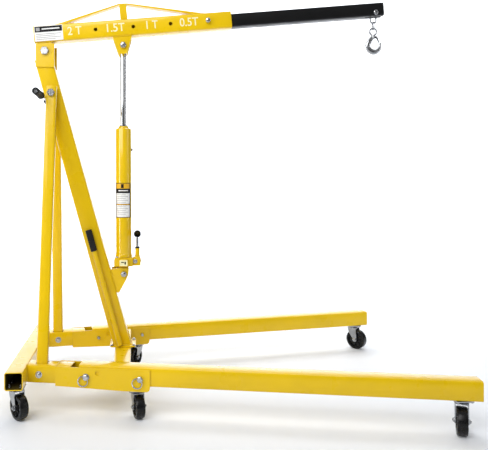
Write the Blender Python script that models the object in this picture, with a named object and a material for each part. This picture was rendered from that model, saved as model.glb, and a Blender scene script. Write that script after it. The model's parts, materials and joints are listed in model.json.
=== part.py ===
"""Folding engine hoist crane: base, folding legs, mast, braces, hydraulic ram, boom and hook.

Metres, +Z up, +X forward along the boom, +Y to the crane's left. The origin is on the floor,
midway between the back of the rear crossmember and the front of the legs.
"Station" means the distance forward from the back of the rear crossmember.
"""

import math

import bmesh
import bpy
from mathutils import Matrix, Vector

# ---- driving dimensions ---------------------------------------------------------------

LENGTH = 1.620                      # crossmember's back to the legs' front
GAP = 0.0004                        # between pieces that touch

# base tubes
TUBE = 0.065                        # square tube of crossmember, rails and legs
WALL = 0.0035
CORNER = 0.007                      # outer corner radius of a tube
TOP = 0.178                         # height of the crossmember's and rails' top face
CROSS_HALF = 0.325                  # half the rear crossmember's length
SPLAY = math.atan(0.18)             # each side's outward angle
RAIL_START_Y = 0.212                # rail centre line at the crossmember's front face
RAIL_END = 0.2305                   # stations along each side
CHANNEL_START = 0.1764
CHANNEL_END = 0.5182
CHANNEL_LEVEL = 0.4250               # station from which the channel's floor is level
CHANNEL_BACK_DEPTH = 0.070
CHANNEL_FRONT_DEPTH = 0.078
CHANNEL_WALL = 0.0035
CHANNEL_SLACK = 0.0008              # between a tube's side and the channel's wall
PIVOT_STATION = 0.2887
PIVOT_DROP = 0.0331                 # below TOP
FOLD_HOLE_STATION = 0.3303
FOLD_HOLE_DROP = 0.0184
LOCK_STATION = 0.4834
LOCK_DROP = 0.0321
LEG_START = 0.2610
LEG_RISE = 0.007                    # leg's top above TOP
LEG_HEIGHT = 0.0685
PIN_RADIUS = 0.007
RING_RADIUS = 0.018

# mast
MAST_LEAN = math.radians(15.3)
MAST_FOOT = 0.408                   # station of the mast's centre line at TOP
MAST_SIZE = 0.070
MAST_TOP_Z = 1.333
MAST_WALL = 0.004
MID_CROSS_STATION = 0.410
FLANGE_THICKNESS = 0.006
HEAD_PLATE = 0.006
HEAD_BACK = 0.0623                  # stations and heights of the head plates
HEAD_FRONT = 0.1367
HEAD_LOW_Z = 1.3055
HEAD_HIGH_Z = 1.3996

# braces
BRACE_TOP = (0.1278, 0.0565, 1.1988)      # station, y, z of the left brace's centre line
BRACE_FOOT = (0.1155, 0.2225, 0.1280)
BRACE_WIDTH = 0.042
BRACE_DEPTH = 0.030

# boom, in its own frame: u forward along the boom, v up from the pivot
BOOM_PIVOT = (0.0982, 1.3696)       # station, z
BOOM_ANGLE = math.radians(5.2)
BOOM_SIZE = 0.068
BOOM_WALL = 0.004
BOOM_LOW_V = 0.0375
BOOM_BACK_U = -0.0392
BOOM_FRONT_U = 0.7640
HOLE_U = (0.2096, 0.3618, 0.5140, 0.6662)
HOLE_RADIUS = 0.0075
EXTENSION_SIZE = 0.054
EXTENSION_BACK_U = 0.600
EXTENSION_FRONT_U = 1.4056
HOOK_BOLT_U = 1.3699

# ram, in its own frame: w up from the lower pin
RAM_PIN = (0.4128, 0.4719)          # station, z
RAM_UPPER_U = 0.3141                # upper pin in the boom's frame, at v = 0
BARREL_RADIUS = 0.0325
BARREL_LOW_W = 0.0660
BARREL_HIGH_W = 0.5920
ROD_RADIUS = 0.0133
PUMP_OFFSET = 0.0560                # pump centre line forward of the ram's
LEVER_W = 0.1640

ROUND = 18                          # sides of a round piece
BOLT_SIDES = 12
HOLE_SIDES = 10
WHEEL_SIDES = 20


def station(distance):
    """World x of a station."""
    return distance - LENGTH / 2


# ---- scene, materials and objects -------------------------------------------------------

def clear_scene():
    for item in list(bpy.data.objects):
        bpy.data.objects.remove(item, do_unlink=True)


def finish(name, colour, roughness, metallic):
    material = bpy.data.materials.new(name)
    material.use_nodes = True
    shader = material.node_tree.nodes["Principled BSDF"]
    shader.inputs["Base Color"].default_value = (*colour, 1.0)
    shader.inputs["Roughness"].default_value = roughness
    shader.inputs["Metallic"].default_value = metallic
    return material


clear_scene()
YELLOW = finish("yellow_paint", (0.80, 0.50, 0.008), 0.35, 0.0)
BLACK = finish("black_paint", (0.012, 0.012, 0.012), 0.40, 0.0)
ZINC = finish("zinc_plate", (0.62, 0.63, 0.65), 0.35, 1.0)
CHROME = finish("chrome", (0.80, 0.80, 0.82), 0.12, 1.0)
RUBBER = finish("black_rubber", (0.014, 0.014, 0.014), 0.75, 0.0)
WHEEL = finish("wheel_black", (0.016, 0.016, 0.017), 0.50, 0.0)


def frame(name, location, rotation=(0.0, 0.0, 0.0), parent=None):
    """An empty that carries a group of pieces, on their joint's axis where they move."""
    empty = bpy.data.objects.new(name, None)
    empty.location = location
    empty.rotation_euler = rotation
    empty.parent = parent
    bpy.context.collection.objects.link(empty)
    return empty


def add_object(name, mesh, material, parent, location, rotation):
    item = bpy.data.objects.new(name, mesh)
    item.location = location
    item.rotation_euler = rotation
    item.parent = parent
    if material is not None:
        item.data.materials.append(material)
    bpy.context.collection.objects.link(item)
    return item


def to_mesh(name, bm, smooth):
    bmesh.ops.recalc_face_normals(bm, faces=bm.faces)
    mesh = bpy.data.meshes.new(name)
    bm.to_mesh(mesh)
    bm.free()
    if smooth:
        mesh.shade_smooth()
        mesh.set_sharp_from_angle(angle=math.radians(35))
    return mesh


def piece(name, bm, material, parent=None, location=(0, 0, 0), rotation=(0, 0, 0), smooth=True):
    """One named sub-part."""
    return add_object(name, to_mesh(name, bm, smooth), material, parent, location, rotation)


def combine(target, bm, operation, location=(0, 0, 0), rotation=(0, 0, 0), parent=None):
    """A hidden shape in the target's frame, cut from it or welded to it."""
    name = target.name + "_tool"
    tool = add_object(name, to_mesh(name, bm, False), None, parent or target.parent, location, rotation)
    tool.hide_render = True
    tool.display_type = "WIRE"
    modifier = target.modifiers.new(operation.lower(), "BOOLEAN")
    modifier.operation = operation
    modifier.object = tool
    modifier.solver = "EXACT"
    return tool


def cut(target, bm, **place):
    return combine(target, bm, "DIFFERENCE", **place)


def weld(target, bm, **place):
    return combine(target, bm, "UNION", **place)


# ---- outlines and solids ----------------------------------------------------------------

AXIS_TURN = {
    "Z": Matrix.Identity(4),
    "X": Matrix.Rotation(math.radians(90), 4, "Y"),
    "Y": Matrix.Rotation(math.radians(-90), 4, "X"),
}


def circle(radius, sides=ROUND, turn=0.0):
    step = 2 * math.pi / sides
    return [(radius * math.cos(turn + k * step), radius * math.sin(turn + k * step)) for k in range(sides)]


def hexagon(across_corners):
    """A hexagon of 12 points, so that it joins a 12-sided shank."""
    points = []
    for k in range(BOLT_SIDES):
        radius = across_corners / 2
        if k % 2:
            radius *= math.cos(math.radians(30))
        points.append((radius * math.cos(k * math.pi / 6), radius * math.sin(k * math.pi / 6)))
    return points


def rounded_rectangle(width, depth, corner, steps=2):
    points = []
    for quarter, (sx, sy) in enumerate(((1, 1), (-1, 1), (-1, -1), (1, -1))):
        for k in range(steps + 1):
            angle = math.pi / 2 * (quarter + k / steps)
            points.append((sx * (width / 2 - corner) + corner * math.cos(angle),
                           sy * (depth / 2 - corner) + corner * math.sin(angle)))
    return points


def arc(centre_x, centre_y, radius, start, end, steps):
    """Points on an arc, both ends included, angles in degrees."""
    points = []
    for k in range(steps + 1):
        angle = math.radians(start + (end - start) * k / steps)
        points.append((centre_x + radius * math.cos(angle), centre_y + radius * math.sin(angle)))
    return points


def bridge(bm, ring_a, ring_b):
    count = len(ring_a)
    for k in range(count):
        following = (k + 1) % count
        bm.faces.new((ring_a[k], ring_a[following], ring_b[following], ring_b[k]))


def stack(sections, axis="Z"):
    """Solid through outlines at rising heights along an axis: [(height, points), ...]."""
    bm = bmesh.new()
    rings = [[bm.verts.new((x, y, height)) for x, y in points] for height, points in sections]
    for low, high in zip(rings, rings[1:]):
        bridge(bm, low, high)
    bm.faces.new(rings[0])
    bm.faces.new(rings[-1])
    bm.transform(AXIS_TURN[axis])
    return bm


def rod(radius, low, high, axis="Z", sides=ROUND):
    return stack([(low, circle(radius, sides)), (high, circle(radius, sides))], axis)


def plate(points, low, high, axis="Y"):
    """An outline drawn in (x, z) for axis Y, (y, z) for X or (x, y) for Z, thickened along the axis."""
    place = {
        "X": lambda a, b, c: (c, a, b),
        "Y": lambda a, b, c: (a, c, b),
        "Z": lambda a, b, c: (a, b, c),
    }[axis]
    bm = bmesh.new()
    rings = [[bm.verts.new(place(a, b, c)) for a, b in points] for c in (low, high)]
    bridge(bm, rings[0], rings[1])
    bm.faces.new(rings[0])
    bm.faces.new(rings[1])
    return bm


def block(low, high):
    """A box from its lowest to its highest corner."""
    outline = [(low[0], low[1]), (high[0], low[1]), (high[0], high[1]), (low[0], high[1])]
    return plate(outline, low[2], high[2], "Z")


def turned(profile, sides=ROUND, axis="Z", phase=0.0):
    """A closed (radius, height) profile revolved about an axis; it never touches the axis."""
    bm = bmesh.new()
    rings = []
    for k in range(sides):
        angle = phase + 2 * math.pi * k / sides
        rings.append([bm.verts.new((r * math.cos(angle), r * math.sin(angle), h)) for r, h in profile])
    for k in range(sides):
        bridge(bm, rings[k], rings[(k + 1) % sides])
    bm.transform(AXIS_TURN[axis])
    return bm


def swept(path, radii, sides=8, closed=False, squash=1.0):
    """A round bar along a path in the XZ plane, its section narrowed along Y by squash."""
    bm = bmesh.new()
    count = len(path)
    rings = []
    for k, (x, z) in enumerate(path):
        before = path[(k - 1) % count] if closed or k > 0 else path[k]
        after = path[(k + 1) % count] if closed or k < count - 1 else path[k]
        along = Vector((after[0] - before[0], 0, after[1] - before[1])).normalized()
        across = Vector((-along.z, 0, along.x))
        ring = []
        for a, b in circle(radii[k], sides):
            ring.append(bm.verts.new(Vector((x, 0, z)) + across * a + Vector((0, b * squash, 0))))
        rings.append(ring)
    for low, high in zip(rings, rings[1:]):
        bridge(bm, low, high)
    if closed:
        bridge(bm, rings[-1], rings[0])
    else:
        bm.faces.new(rings[0])
        bm.faces.new(rings[-1])
    return bm


def tube(width, depth, wall, low, high, axis, low_slope=0.0, high_slope=0.0, closed_end=False):
    """A rectangular tube with rounded corners; a slope tilts an end across the tube's width."""
    place = {
        "X": lambda a, b, c: (c, a, b),
        "Y": lambda a, b, c: (a, c, b),
        "Z": lambda a, b, c: (a, b, c),
    }[axis]
    outer = rounded_rectangle(width, depth, CORNER)
    inner = rounded_rectangle(width - 2 * wall, depth - 2 * wall, CORNER - wall * 0.8)
    bm = bmesh.new()

    def ring(points, at, slope):
        return [bm.verts.new(place(a, b, at + slope * a)) for a, b in points]

    outer_low = ring(outer, low, low_slope)
    outer_high = ring(outer, high, high_slope)
    inner_low = ring(inner, low, low_slope)
    inner_high = ring(inner, high - (wall if closed_end else 0.0), high_slope)
    bridge(bm, outer_low, outer_high)
    bridge(bm, inner_high, inner_low)
    bridge(bm, inner_low, outer_low)
    if closed_end:
        bm.faces.new(outer_high)
        bm.faces.new(inner_high)
    else:
        bridge(bm, outer_high, inner_high)
    return bm


def bolt(radius, length, head, axis="Y"):
    """A hexagon bolt with its nut, centred on its shank, with its head at the low end."""
    height = radius * 1.1
    half = length / 2
    sections = [
        (-half - height, hexagon(head * 0.86)),
        (-half - height * 0.85, hexagon(head)),
        (-half, hexagon(head)),
        (-half, circle(radius, BOLT_SIDES)),
        (half, circle(radius, BOLT_SIDES)),
        (half, hexagon(head)),
        (half + height, hexagon(head)),
        (half + height, circle(radius, BOLT_SIDES)),
        (half + height * 1.5, circle(radius * 0.85, BOLT_SIDES)),
    ]
    return stack(sections, axis)


# ---- base -------------------------------------------------------------------------------

RAIL_MID_Z = TOP - TUBE / 2
LEG_MID_Z = TOP + LEG_RISE - LEG_HEIGHT / 2
PIVOT_Z = TOP - PIVOT_DROP
LOCK_Z = TOP - LOCK_DROP
CHANNEL_INNER_HALF = TUBE / 2 + CHANNEL_SLACK
CHANNEL_OUTER_HALF = CHANNEL_INNER_HALF + CHANNEL_WALL
SIDES = (("left", 1), ("right", -1))


def along_side(at_station):
    """Distance along a splayed side from the crossmember's front face."""
    return (at_station - TUBE) / math.cos(SPLAY)


def side_y(at_station):
    """Height of the left side's centre line above the XZ plane."""
    return RAIL_START_Y + (at_station - TUBE) * math.tan(SPLAY)


def make_rear_crossmember():
    cross = tube(TUBE, TUBE, WALL, -CROSS_HALF, CROSS_HALF, "Y")
    piece("rear_crossmember", cross, YELLOW, location=(station(TUBE / 2), 0, RAIL_MID_Z))


def make_rail(side, sign, side_frame):
    slope = sign * math.tan(SPLAY)
    start = GAP / math.cos(SPLAY)
    rail = piece("rail_" + side, tube(TUBE, TUBE, WALL, start, along_side(RAIL_END), "X", low_slope=slope),
                 YELLOW, side_frame, location=(0, 0, RAIL_MID_Z))
    slot = block((-BRACE_WIDTH / 2 - 0.002, -BRACE_DEPTH / 2 - 0.003, 0.0),
                 (BRACE_WIDTH / 2 + 0.002, BRACE_DEPTH / 2 + 0.003, 0.10))
    share = (TOP - WALL - 0.003 - BRACE_FOOT[2]) / (BRACE_TOP[2] - BRACE_FOOT[2])
    middle = [foot + share * (head - foot) for foot, head in zip(BRACE_FOOT, BRACE_TOP)]
    tool = cut(rail, slot, location=(station(middle[0]), sign * middle[1], middle[2]),
               rotation=brace_rotation(sign))
    tool.parent = None


def make_channel(side, sign, side_frame):
    start = along_side(CHANNEL_START)
    level = along_side(CHANNEL_LEVEL)
    end = along_side(CHANNEL_END)
    nose = 0.014
    back_low = TOP - CHANNEL_BACK_DEPTH
    front_low = TOP - CHANNEL_FRONT_DEPTH
    outline = [(start, TOP), (start, back_low), (level, front_low)]
    outline += arc(end - nose, front_low + nose, nose, -90, 0, 4)
    outline += [(end, TOP)]
    channel = piece("leg_channel_" + side, plate(outline, -CHANNEL_OUTER_HALF, CHANNEL_OUTER_HALF),
                    YELLOW, side_frame)
    reach = 0.02
    slope = (front_low - back_low) / (level - start)
    hollow = [(start - reach, TOP + reach), (start - reach, back_low + CHANNEL_WALL - slope * reach),
              (level, front_low + CHANNEL_WALL), (end + reach, front_low + CHANNEL_WALL),
              (end + reach, TOP + reach)]
    cut(channel, plate(hollow, -CHANNEL_INNER_HALF, CHANNEL_INNER_HALF))
    reach_y = CHANNEL_OUTER_HALF + 0.01
    for at, z, radius in ((PIVOT_STATION, PIVOT_Z, PIN_RADIUS + GAP), (LOCK_STATION, LOCK_Z, PIN_RADIUS + GAP),
                          (FOLD_HOLE_STATION, TOP - FOLD_HOLE_DROP, 0.0085)):
        cut(channel, rod(radius, -reach_y, reach_y, "Y", HOLE_SIDES), location=(along_side(at), 0, z))


def make_mast_crossmember():
    clearance = (CHANNEL_OUTER_HALF + GAP) / math.cos(SPLAY)
    half = side_y(MID_CROSS_STATION) - clearance
    slope = math.tan(SPLAY)
    cross = tube(0.064, 0.062, WALL, -half, half, "Y", low_slope=-slope, high_slope=slope)
    piece("mast_crossmember", cross, YELLOW, location=(station(MID_CROSS_STATION), 0, TOP - 0.031))


# ---- legs and their pins ----------------------------------------------------------------

def make_leg(side, sign, leg_frame):
    """The leg in its pivot's frame: it folds up about the pivot pin."""
    to_pivot = along_side(PIVOT_STATION)
    back = along_side(LEG_START) - to_pivot
    front = along_side(LENGTH) - to_pivot
    lock = along_side(LOCK_STATION) - to_pivot
    rise = LEG_MID_Z - PIVOT_Z
    leg = piece("leg_" + side, tube(TUBE, LEG_HEIGHT, WALL, back, front, "X", closed_end=True), YELLOW,
                leg_frame, location=(0, 0, rise))
    half = TUBE / 2
    bottom = rise - LEG_HEIGHT / 2
    cut(leg, rod(PIN_RADIUS + GAP, -half - 0.01, half + 0.01, "Y", HOLE_SIDES))
    drop = LOCK_Z - PIVOT_Z
    slot_half = PIN_RADIUS + 0.0006
    low = bottom - 0.01
    slot = arc(lock, drop, slot_half, 180, 0, 6) + [(lock + slot_half, low), (lock - slot_half - 0.003, low)]
    cut(leg, plate(slot, -half - 0.01, half + 0.01))
    heel = 0.014
    corner = [(back - 0.01, bottom - 0.01), (back + heel, bottom - 0.01), (back + heel, bottom),
              (back, bottom + heel), (back - 0.01, bottom + heel)]
    cut(leg, plate(corner, -half - 0.01, half + 0.01))


def make_ring_pin(name, sign, parent, location):
    """A headed pin through both channel walls, with a pull ring hanging from its outer head."""
    inner = CHANNEL_OUTER_HALF + 0.012
    outer = CHANNEL_OUTER_HALF + 0.0006
    low, high = -inner, outer
    sides = HOLE_SIDES
    shank = [(low, circle(PIN_RADIUS * 0.8, sides)), (low + 0.003, circle(PIN_RADIUS, sides)),
             (high, circle(PIN_RADIUS, sides)), (high, circle(0.0105, sides)),
             (high + 0.009, circle(0.0105, sides)), (high + 0.0105, circle(0.0085, sides))]
    pin = piece(name, stack(shank, "Y"), ZINC, parent, location=location,
                rotation=(0, 0, 0 if sign > 0 else math.pi))
    lean = math.radians(-125) if sign < 0 else math.radians(-55)
    centre = (RING_RADIUS * math.cos(lean) * sign, RING_RADIUS * math.sin(lean))
    ring_path = [(centre[0] + RING_RADIUS * a, centre[1] + RING_RADIUS * b) for a, b in circle(1.0, 16)]
    weld(pin, swept(ring_path, [0.0022] * len(ring_path), 5, closed=True),
         location=(location[0], location[1] + sign * (high + 0.005), location[2]),
         rotation=(0, 0, 0 if sign > 0 else math.pi))


# ---- mast and braces --------------------------------------------------------------------

def make_mast(mast_frame):
    slope = -math.tan(MAST_LEAN)
    high = (MAST_TOP_Z - TOP) / math.cos(MAST_LEAN)
    low = (FLANGE_THICKNESS * 0.5) / math.cos(MAST_LEAN)
    mast = piece("mast",
                 tube(MAST_SIZE, MAST_SIZE, MAST_WALL, low, high, "Z", low_slope=slope, high_slope=slope),
                 YELLOW, mast_frame)
    flange = [(x + 0.002, y) for x, y in rounded_rectangle(0.104, 0.100, 0.010)]
    foot = plate(flange, TOP + GAP, TOP + FLANGE_THICKNESS, "Z")
    tool = weld(mast, foot, location=(station(MAST_FOOT), 0, 0))
    tool.parent = None
    bore = rod(0.0105, -0.06, 0.06, "Y", 12)
    tool = cut(mast, bore, location=(station(BRACE_TOP[0]), 0, BRACE_TOP[2]))
    tool.parent = None


def make_head_plates():
    inner = MAST_SIZE / 2 + GAP
    for side, sign in SIDES:
        low, high = sorted((sign * inner, sign * (inner + HEAD_PLATE)))
        outline = [(station(HEAD_BACK), HEAD_LOW_Z), (station(HEAD_FRONT), HEAD_LOW_Z),
                   (station(HEAD_FRONT), HEAD_HIGH_Z), (station(HEAD_BACK), HEAD_HIGH_Z)]
        head = piece("mast_head_plate_" + side, plate(outline, low, high), YELLOW)
        cut(head, rod(0.0100 + GAP, -0.06, 0.06, "Y", 12), location=(station(BOOM_PIVOT[0]), 0, BOOM_PIVOT[1]))
    half = inner + HEAD_PLATE + GAP
    piece("boom_pivot_bolt", bolt(0.0100, 2 * half, 0.034), ZINC,
          location=(station(BOOM_PIVOT[0]), 0, BOOM_PIVOT[1]))


def mast_front(z):
    """Station of the mast's front face at a height."""
    return MAST_FOOT + MAST_SIZE / 2 / math.cos(MAST_LEAN) - (z - TOP) * math.tan(MAST_LEAN)


def make_ram_bracket():
    """Two ears and a back web on the mast's front, with the ram's lower bolt across them."""
    top_z, low_z = 0.4900, 0.3960
    reach = RAM_PIN[0] + 0.0185
    back_top = mast_front(top_z) + GAP
    back_low = mast_front(low_z) + GAP
    ear = [(back_low, low_z), (back_low + 0.010, low_z), (reach - 0.006, 0.4520), (reach + 0.003, 0.4840),
           (reach, top_z + 0.005), (RAM_PIN[0] - 0.018, top_z + 0.0065), (back_top, top_z)]
    outline = [(station(x), z) for x, z in ear]
    bracket = piece("ram_bracket", plate(outline, -0.0330, 0.0330), YELLOW)
    web = 0.005 / math.cos(MAST_LEAN)
    space = [(back_low + web - 0.06 * math.tan(-MAST_LEAN), low_z - 0.06), (back_low + 0.2, low_z - 0.06),
             (back_low + 0.2, top_z + 0.06), (back_top + web - 0.06 * math.tan(MAST_LEAN), top_z + 0.06)]
    cut(bracket, plate([(station(x), z) for x, z in space], -0.0275, 0.0275))
    weld(bracket, bolt(0.0098, 0.0670, 0.024), location=(station(RAM_PIN[0]), 0, RAM_PIN[1]))


def brace_rotation(sign):
    """Turns a vertical brace onto the line from its foot to its head."""
    foot = Vector((BRACE_FOOT[0], sign * BRACE_FOOT[1], BRACE_FOOT[2]))
    head = Vector((BRACE_TOP[0], sign * BRACE_TOP[1], BRACE_TOP[2]))
    along = (head - foot).normalized()
    pitch = math.atan2(along.x, math.hypot(along.y, along.z))
    roll = -math.atan2(along.y, along.z)
    return (Matrix.Rotation(roll, 4, "X") @ Matrix.Rotation(pitch, 4, "Y")).to_euler()


def make_brace(side, sign):
    foot = Vector(BRACE_FOOT)
    length = (Vector(BRACE_TOP) - foot).length
    bar = tube(BRACE_WIDTH, BRACE_DEPTH, 0.0025, 0.0, length + 0.026, "Z")
    brace = piece("brace_" + side, bar, YELLOW, location=(station(foot.x), sign * foot.y, foot.z),
                  rotation=brace_rotation(sign))
    bore = rod(0.0105, -0.12, 0.12, "Y", 12)
    tool = cut(brace, bore, location=(station(BRACE_TOP[0]), 0, BRACE_TOP[2]))
    tool.parent = None


def make_mast_bolt():
    half = BRACE_TOP[1] + BRACE_DEPTH / 2 + 0.0040
    piece("brace_bolt", bolt(0.0100, 2 * half, 0.030), ZINC, location=(station(BRACE_TOP[0]), 0, BRACE_TOP[2]))


# ---- push handle and stored pump handle -------------------------------------------------

HANDLE_Z = 1.186
HANDLE_ROD = 0.0062
GRIP_INNER_Y = 0.082
GRIP_OUTER_Y = 0.202
GRIP_RADIUS = 0.0135


def make_push_handle():
    back_face = mast_front(HANDLE_Z) - MAST_SIZE / math.cos(MAST_LEAN)
    x = station(back_face) - HANDLE_ROD / math.cos(MAST_LEAN) - GAP
    bar = rod(HANDLE_ROD, -GRIP_OUTER_Y + 0.006, GRIP_OUTER_Y - 0.006, "Y", 16)
    piece("push_handle", bar, ZINC, location=(x, 0, HANDLE_Z))
    bore = HANDLE_ROD + GAP
    for side, sign in SIDES:
        profile = [(bore, GRIP_INNER_Y), (GRIP_RADIUS * 1.12, GRIP_INNER_Y),
                   (GRIP_RADIUS * 1.12, GRIP_INNER_Y + 0.004), (GRIP_RADIUS, GRIP_INNER_Y + 0.005),
                   (GRIP_RADIUS, GRIP_OUTER_Y - 0.003), (GRIP_RADIUS * 0.85, GRIP_OUTER_Y),
                   (bore, GRIP_OUTER_Y)]
        piece("push_grip_" + side, turned(profile, 14, "Y"), RUBBER, location=(x, 0, HANDLE_Z),
              rotation=(0, 0, 0 if sign > 0 else math.pi))


PUMP_HANDLE_RADIUS = 0.0105
PUMP_HANDLE_SHIFT = -0.006          # behind the middle of the mast's side
PUMP_HANDLE_Y = -(MAST_SIZE / 2 + 0.0155)
PUMP_HANDLE_LOW = 0.012             # along the mast from its foot
PUMP_HANDLE_HIGH = 0.494
PUMP_GRIP_LENGTH = 0.088
HOLDER_AT = 0.268


def make_pump_handle(mast_frame):
    """A tube stored along the mast's right face, with its rubber grip uppermost."""
    place = (PUMP_HANDLE_SHIFT, PUMP_HANDLE_Y, 0)
    radius = PUMP_HANDLE_RADIUS
    wall = 0.0022
    body = [(radius, PUMP_HANDLE_LOW), (radius, PUMP_HANDLE_HIGH - 0.002),
            (radius - wall, PUMP_HANDLE_HIGH - 0.002), (radius - wall, PUMP_HANDLE_LOW)]
    piece("pump_handle", turned(body, 12), YELLOW, mast_frame, location=place)
    grip_low = PUMP_HANDLE_HIGH - PUMP_GRIP_LENGTH
    outer = radius + 0.0028
    bore = radius + GAP
    grip = [(bore, grip_low), (outer, grip_low), (outer, PUMP_HANDLE_HIGH - 0.002),
            (outer - 0.002, PUMP_HANDLE_HIGH), (bore, PUMP_HANDLE_HIGH)]
    piece("pump_handle_grip", turned(grip, 12), RUBBER, mast_frame, location=place)


def make_handle_holder(mast_frame):
    """A strap ring on the mast that the stored pump handle slides in."""
    inner = PUMP_HANDLE_RADIUS + GAP
    outer = inner + 0.0018
    half = 0.0080                   # half the strap's height
    place = (PUMP_HANDLE_SHIFT, PUMP_HANDLE_Y, HOLDER_AT)
    ring = turned([(inner, -half), (outer, -half), (outer, half), (inner, half)], 20)
    strap = piece("handle_holder", ring, YELLOW, mast_frame, location=place)
    pad_low = outer - 0.0010
    pad_high = -MAST_SIZE / 2 - PUMP_HANDLE_Y - GAP
    weld(strap, block((-0.007, pad_low, -half), (0.007, pad_high, half)), location=place)


# ---- boom -------------------------------------------------------------------------------

BOOM_MID_V = BOOM_LOW_V + BOOM_SIZE / 2
BOOM_TOP_V = BOOM_LOW_V + BOOM_SIZE


def make_boom(boom_frame):
    boom = piece("boom", tube(BOOM_SIZE, BOOM_SIZE, BOOM_WALL, BOOM_BACK_U, BOOM_FRONT_U, "X"), YELLOW,
                 boom_frame, location=(0, 0, BOOM_MID_V))
    for u in HOLE_U:
        cut(boom, rod(HOLE_RADIUS, -0.06, 0.06, "Y", HOLE_SIDES), location=(u, 0, BOOM_MID_V))
    lug_inner, lug_outer = 0.020, 0.030
    outline = [(-0.030, BOOM_LOW_V + 0.002)] + arc(0, 0, 0.022, 170, 370, 8) + [(0.030, BOOM_LOW_V + 0.002)]
    for sign in (1, -1):
        low, high = sorted((sign * lug_inner, sign * lug_outer))
        weld(boom, plate(outline, low, high))
    cut(boom, rod(0.0100 + GAP, -0.032, 0.032, "Y", 12))


def make_boom_ram_bracket(boom_frame):
    """Two tapered ears under the boom, joined by a web, each with its half of the ram's upper bolt."""
    top = BOOM_LOW_V - GAP
    low = -0.0340
    outline = [(0.2740, top), (0.2916, low + 0.004), (0.2950, low), (0.3250, low), (0.3285, low + 0.004),
               (0.3541, top)]
    outer, inner = 0.0330, 0.0280
    bracket = piece("boom_ram_bracket", plate(outline, -outer, outer), YELLOW, boom_frame)
    cut(bracket, block((0.25, -inner, low - 0.02), (0.38, inner, top - 0.005)))
    for sign in (1, -1):
        half_bolt = [(0.0140, circle(0.0095, BOLT_SIDES)), (outer + GAP, circle(0.0095, BOLT_SIDES)),
                     (outer + GAP, hexagon(0.026)), (outer + 0.0100, hexagon(0.026)),
                     (outer + 0.0112, hexagon(0.022))]
        weld(bracket, stack(half_bolt, "Y"), location=(RAM_UPPER_U, 0, 0),
             rotation=(0, 0, 0 if sign > 0 else math.pi))


TRUSS_BACK = 0.0450
TRUSS_FRONT = 0.6560
TRUSS_RISE = 0.0680
POST_BACK = 0.3110
POST_FRONT = 0.3430
BAR_THICKNESS = 0.0055


def make_truss(boom_frame):
    """A flat bar bent over a short post on the boom's top face."""
    base = BOOM_TOP_V + GAP
    crest = BOOM_TOP_V + TRUSS_RISE
    foot = 0.012
    back_slope = (crest - base) / (POST_BACK - TRUSS_BACK - foot)
    front_slope = (crest - base) / (TRUSS_FRONT - foot - POST_FRONT)
    under_back = crest - BAR_THICKNESS / math.cos(math.atan(back_slope))
    under_front = crest - BAR_THICKNESS / math.cos(math.atan(front_slope))
    inset = 0.0015
    outline = [
        (TRUSS_BACK, base), (POST_BACK - (under_back - base) / back_slope, base),
        (POST_BACK + inset, under_back), (POST_BACK + inset, base), (POST_FRONT - inset, base),
        (POST_FRONT - inset, under_front), (POST_FRONT + (under_front - base) / front_slope, base),
        (TRUSS_FRONT, base), (TRUSS_FRONT, base + 0.0040), (TRUSS_FRONT - foot, base + BAR_THICKNESS),
        (POST_FRONT, crest), (POST_BACK, crest), (TRUSS_BACK + foot, base + BAR_THICKNESS),
        (TRUSS_BACK, base + 0.0040),
    ]
    piece("boom_truss", plate(outline, -0.0150, 0.0150), YELLOW, boom_frame)


def make_boom_lock_pin(boom_frame):
    """The pin's shank ends inside the boom's right wall."""
    outer = BOOM_SIZE / 2
    sections = [
        (-outer - 0.0150, circle(0.0075, 16)), (-outer - 0.0135, circle(0.0095, 16)),
        (-outer - GAP, circle(0.0095, 16)), (-outer - GAP, circle(HOLE_RADIUS - GAP, 16)),
        (-outer + BOOM_WALL - 0.0006, circle(HOLE_RADIUS - GAP, 16)),
    ]
    piece("boom_lock_pin", stack(sections, "Y"), ZINC, boom_frame, location=(HOLE_U[-1], 0, BOOM_MID_V))


EXTENSION_MID_V = BOOM_LOW_V + BOOM_WALL + GAP + EXTENSION_SIZE / 2
HOOK_BOLT_V = EXTENSION_MID_V - 0.0140
SHACKLE_SLOT_BACK = 0.037            # open-fronted slot under the hook bolt
SHACKLE_SLOT_HALF = 0.0070


def make_extension(boom_frame):
    bar = tube(EXTENSION_SIZE, EXTENSION_SIZE, 0.0040, EXTENSION_BACK_U, EXTENSION_FRONT_U, "X")
    extension = piece("boom_extension", bar, BLACK, boom_frame, location=(0, 0, EXTENSION_MID_V))
    low_v = EXTENSION_MID_V - EXTENSION_SIZE / 2
    cut(extension, block((HOOK_BOLT_U - SHACKLE_SLOT_BACK, -SHACKLE_SLOT_HALF, low_v - 0.01),
                         (EXTENSION_FRONT_U + 0.01, SHACKLE_SLOT_HALF, low_v + 0.01)))
    cut(extension, rod(0.0066, -0.06, 0.06, "Y", 12), location=(HOOK_BOLT_U, 0, HOOK_BOLT_V))
    piece("hook_bolt", bolt(0.0062, EXTENSION_SIZE + 0.001, 0.021), ZINC, boom_frame,
          location=(HOOK_BOLT_U, 0, HOOK_BOLT_V))


# ---- hook, hanging straight down from the hook bolt ---------------------------------------

SHACKLE_WIRE = 0.0035
SHACKLE_HALF = 0.0115
SHACKLE_DROP = 0.0263
LINK_RADIUS = 0.0085
LINK_WIRE = 0.0028
LINK_STRAIGHT = 0.0155
LINK_SEAT = 0.0050                   # link's top wire above the shackle's foot wire
HOOK_EYE_RADIUS = 0.0148
HOOK_EYE_WIRE = 0.0036
BOWL_FORWARD = 0.0034                # bowl's centre from the eye's centre
BOWL_DROP = 0.0585
BOWL_RADIUS = 0.0257
LATCH_FORWARD = 0.0140
LATCH_DROP = 0.0215
LATCH_EAR = 0.0034
LATCH_PIN = 0.0014


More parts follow.
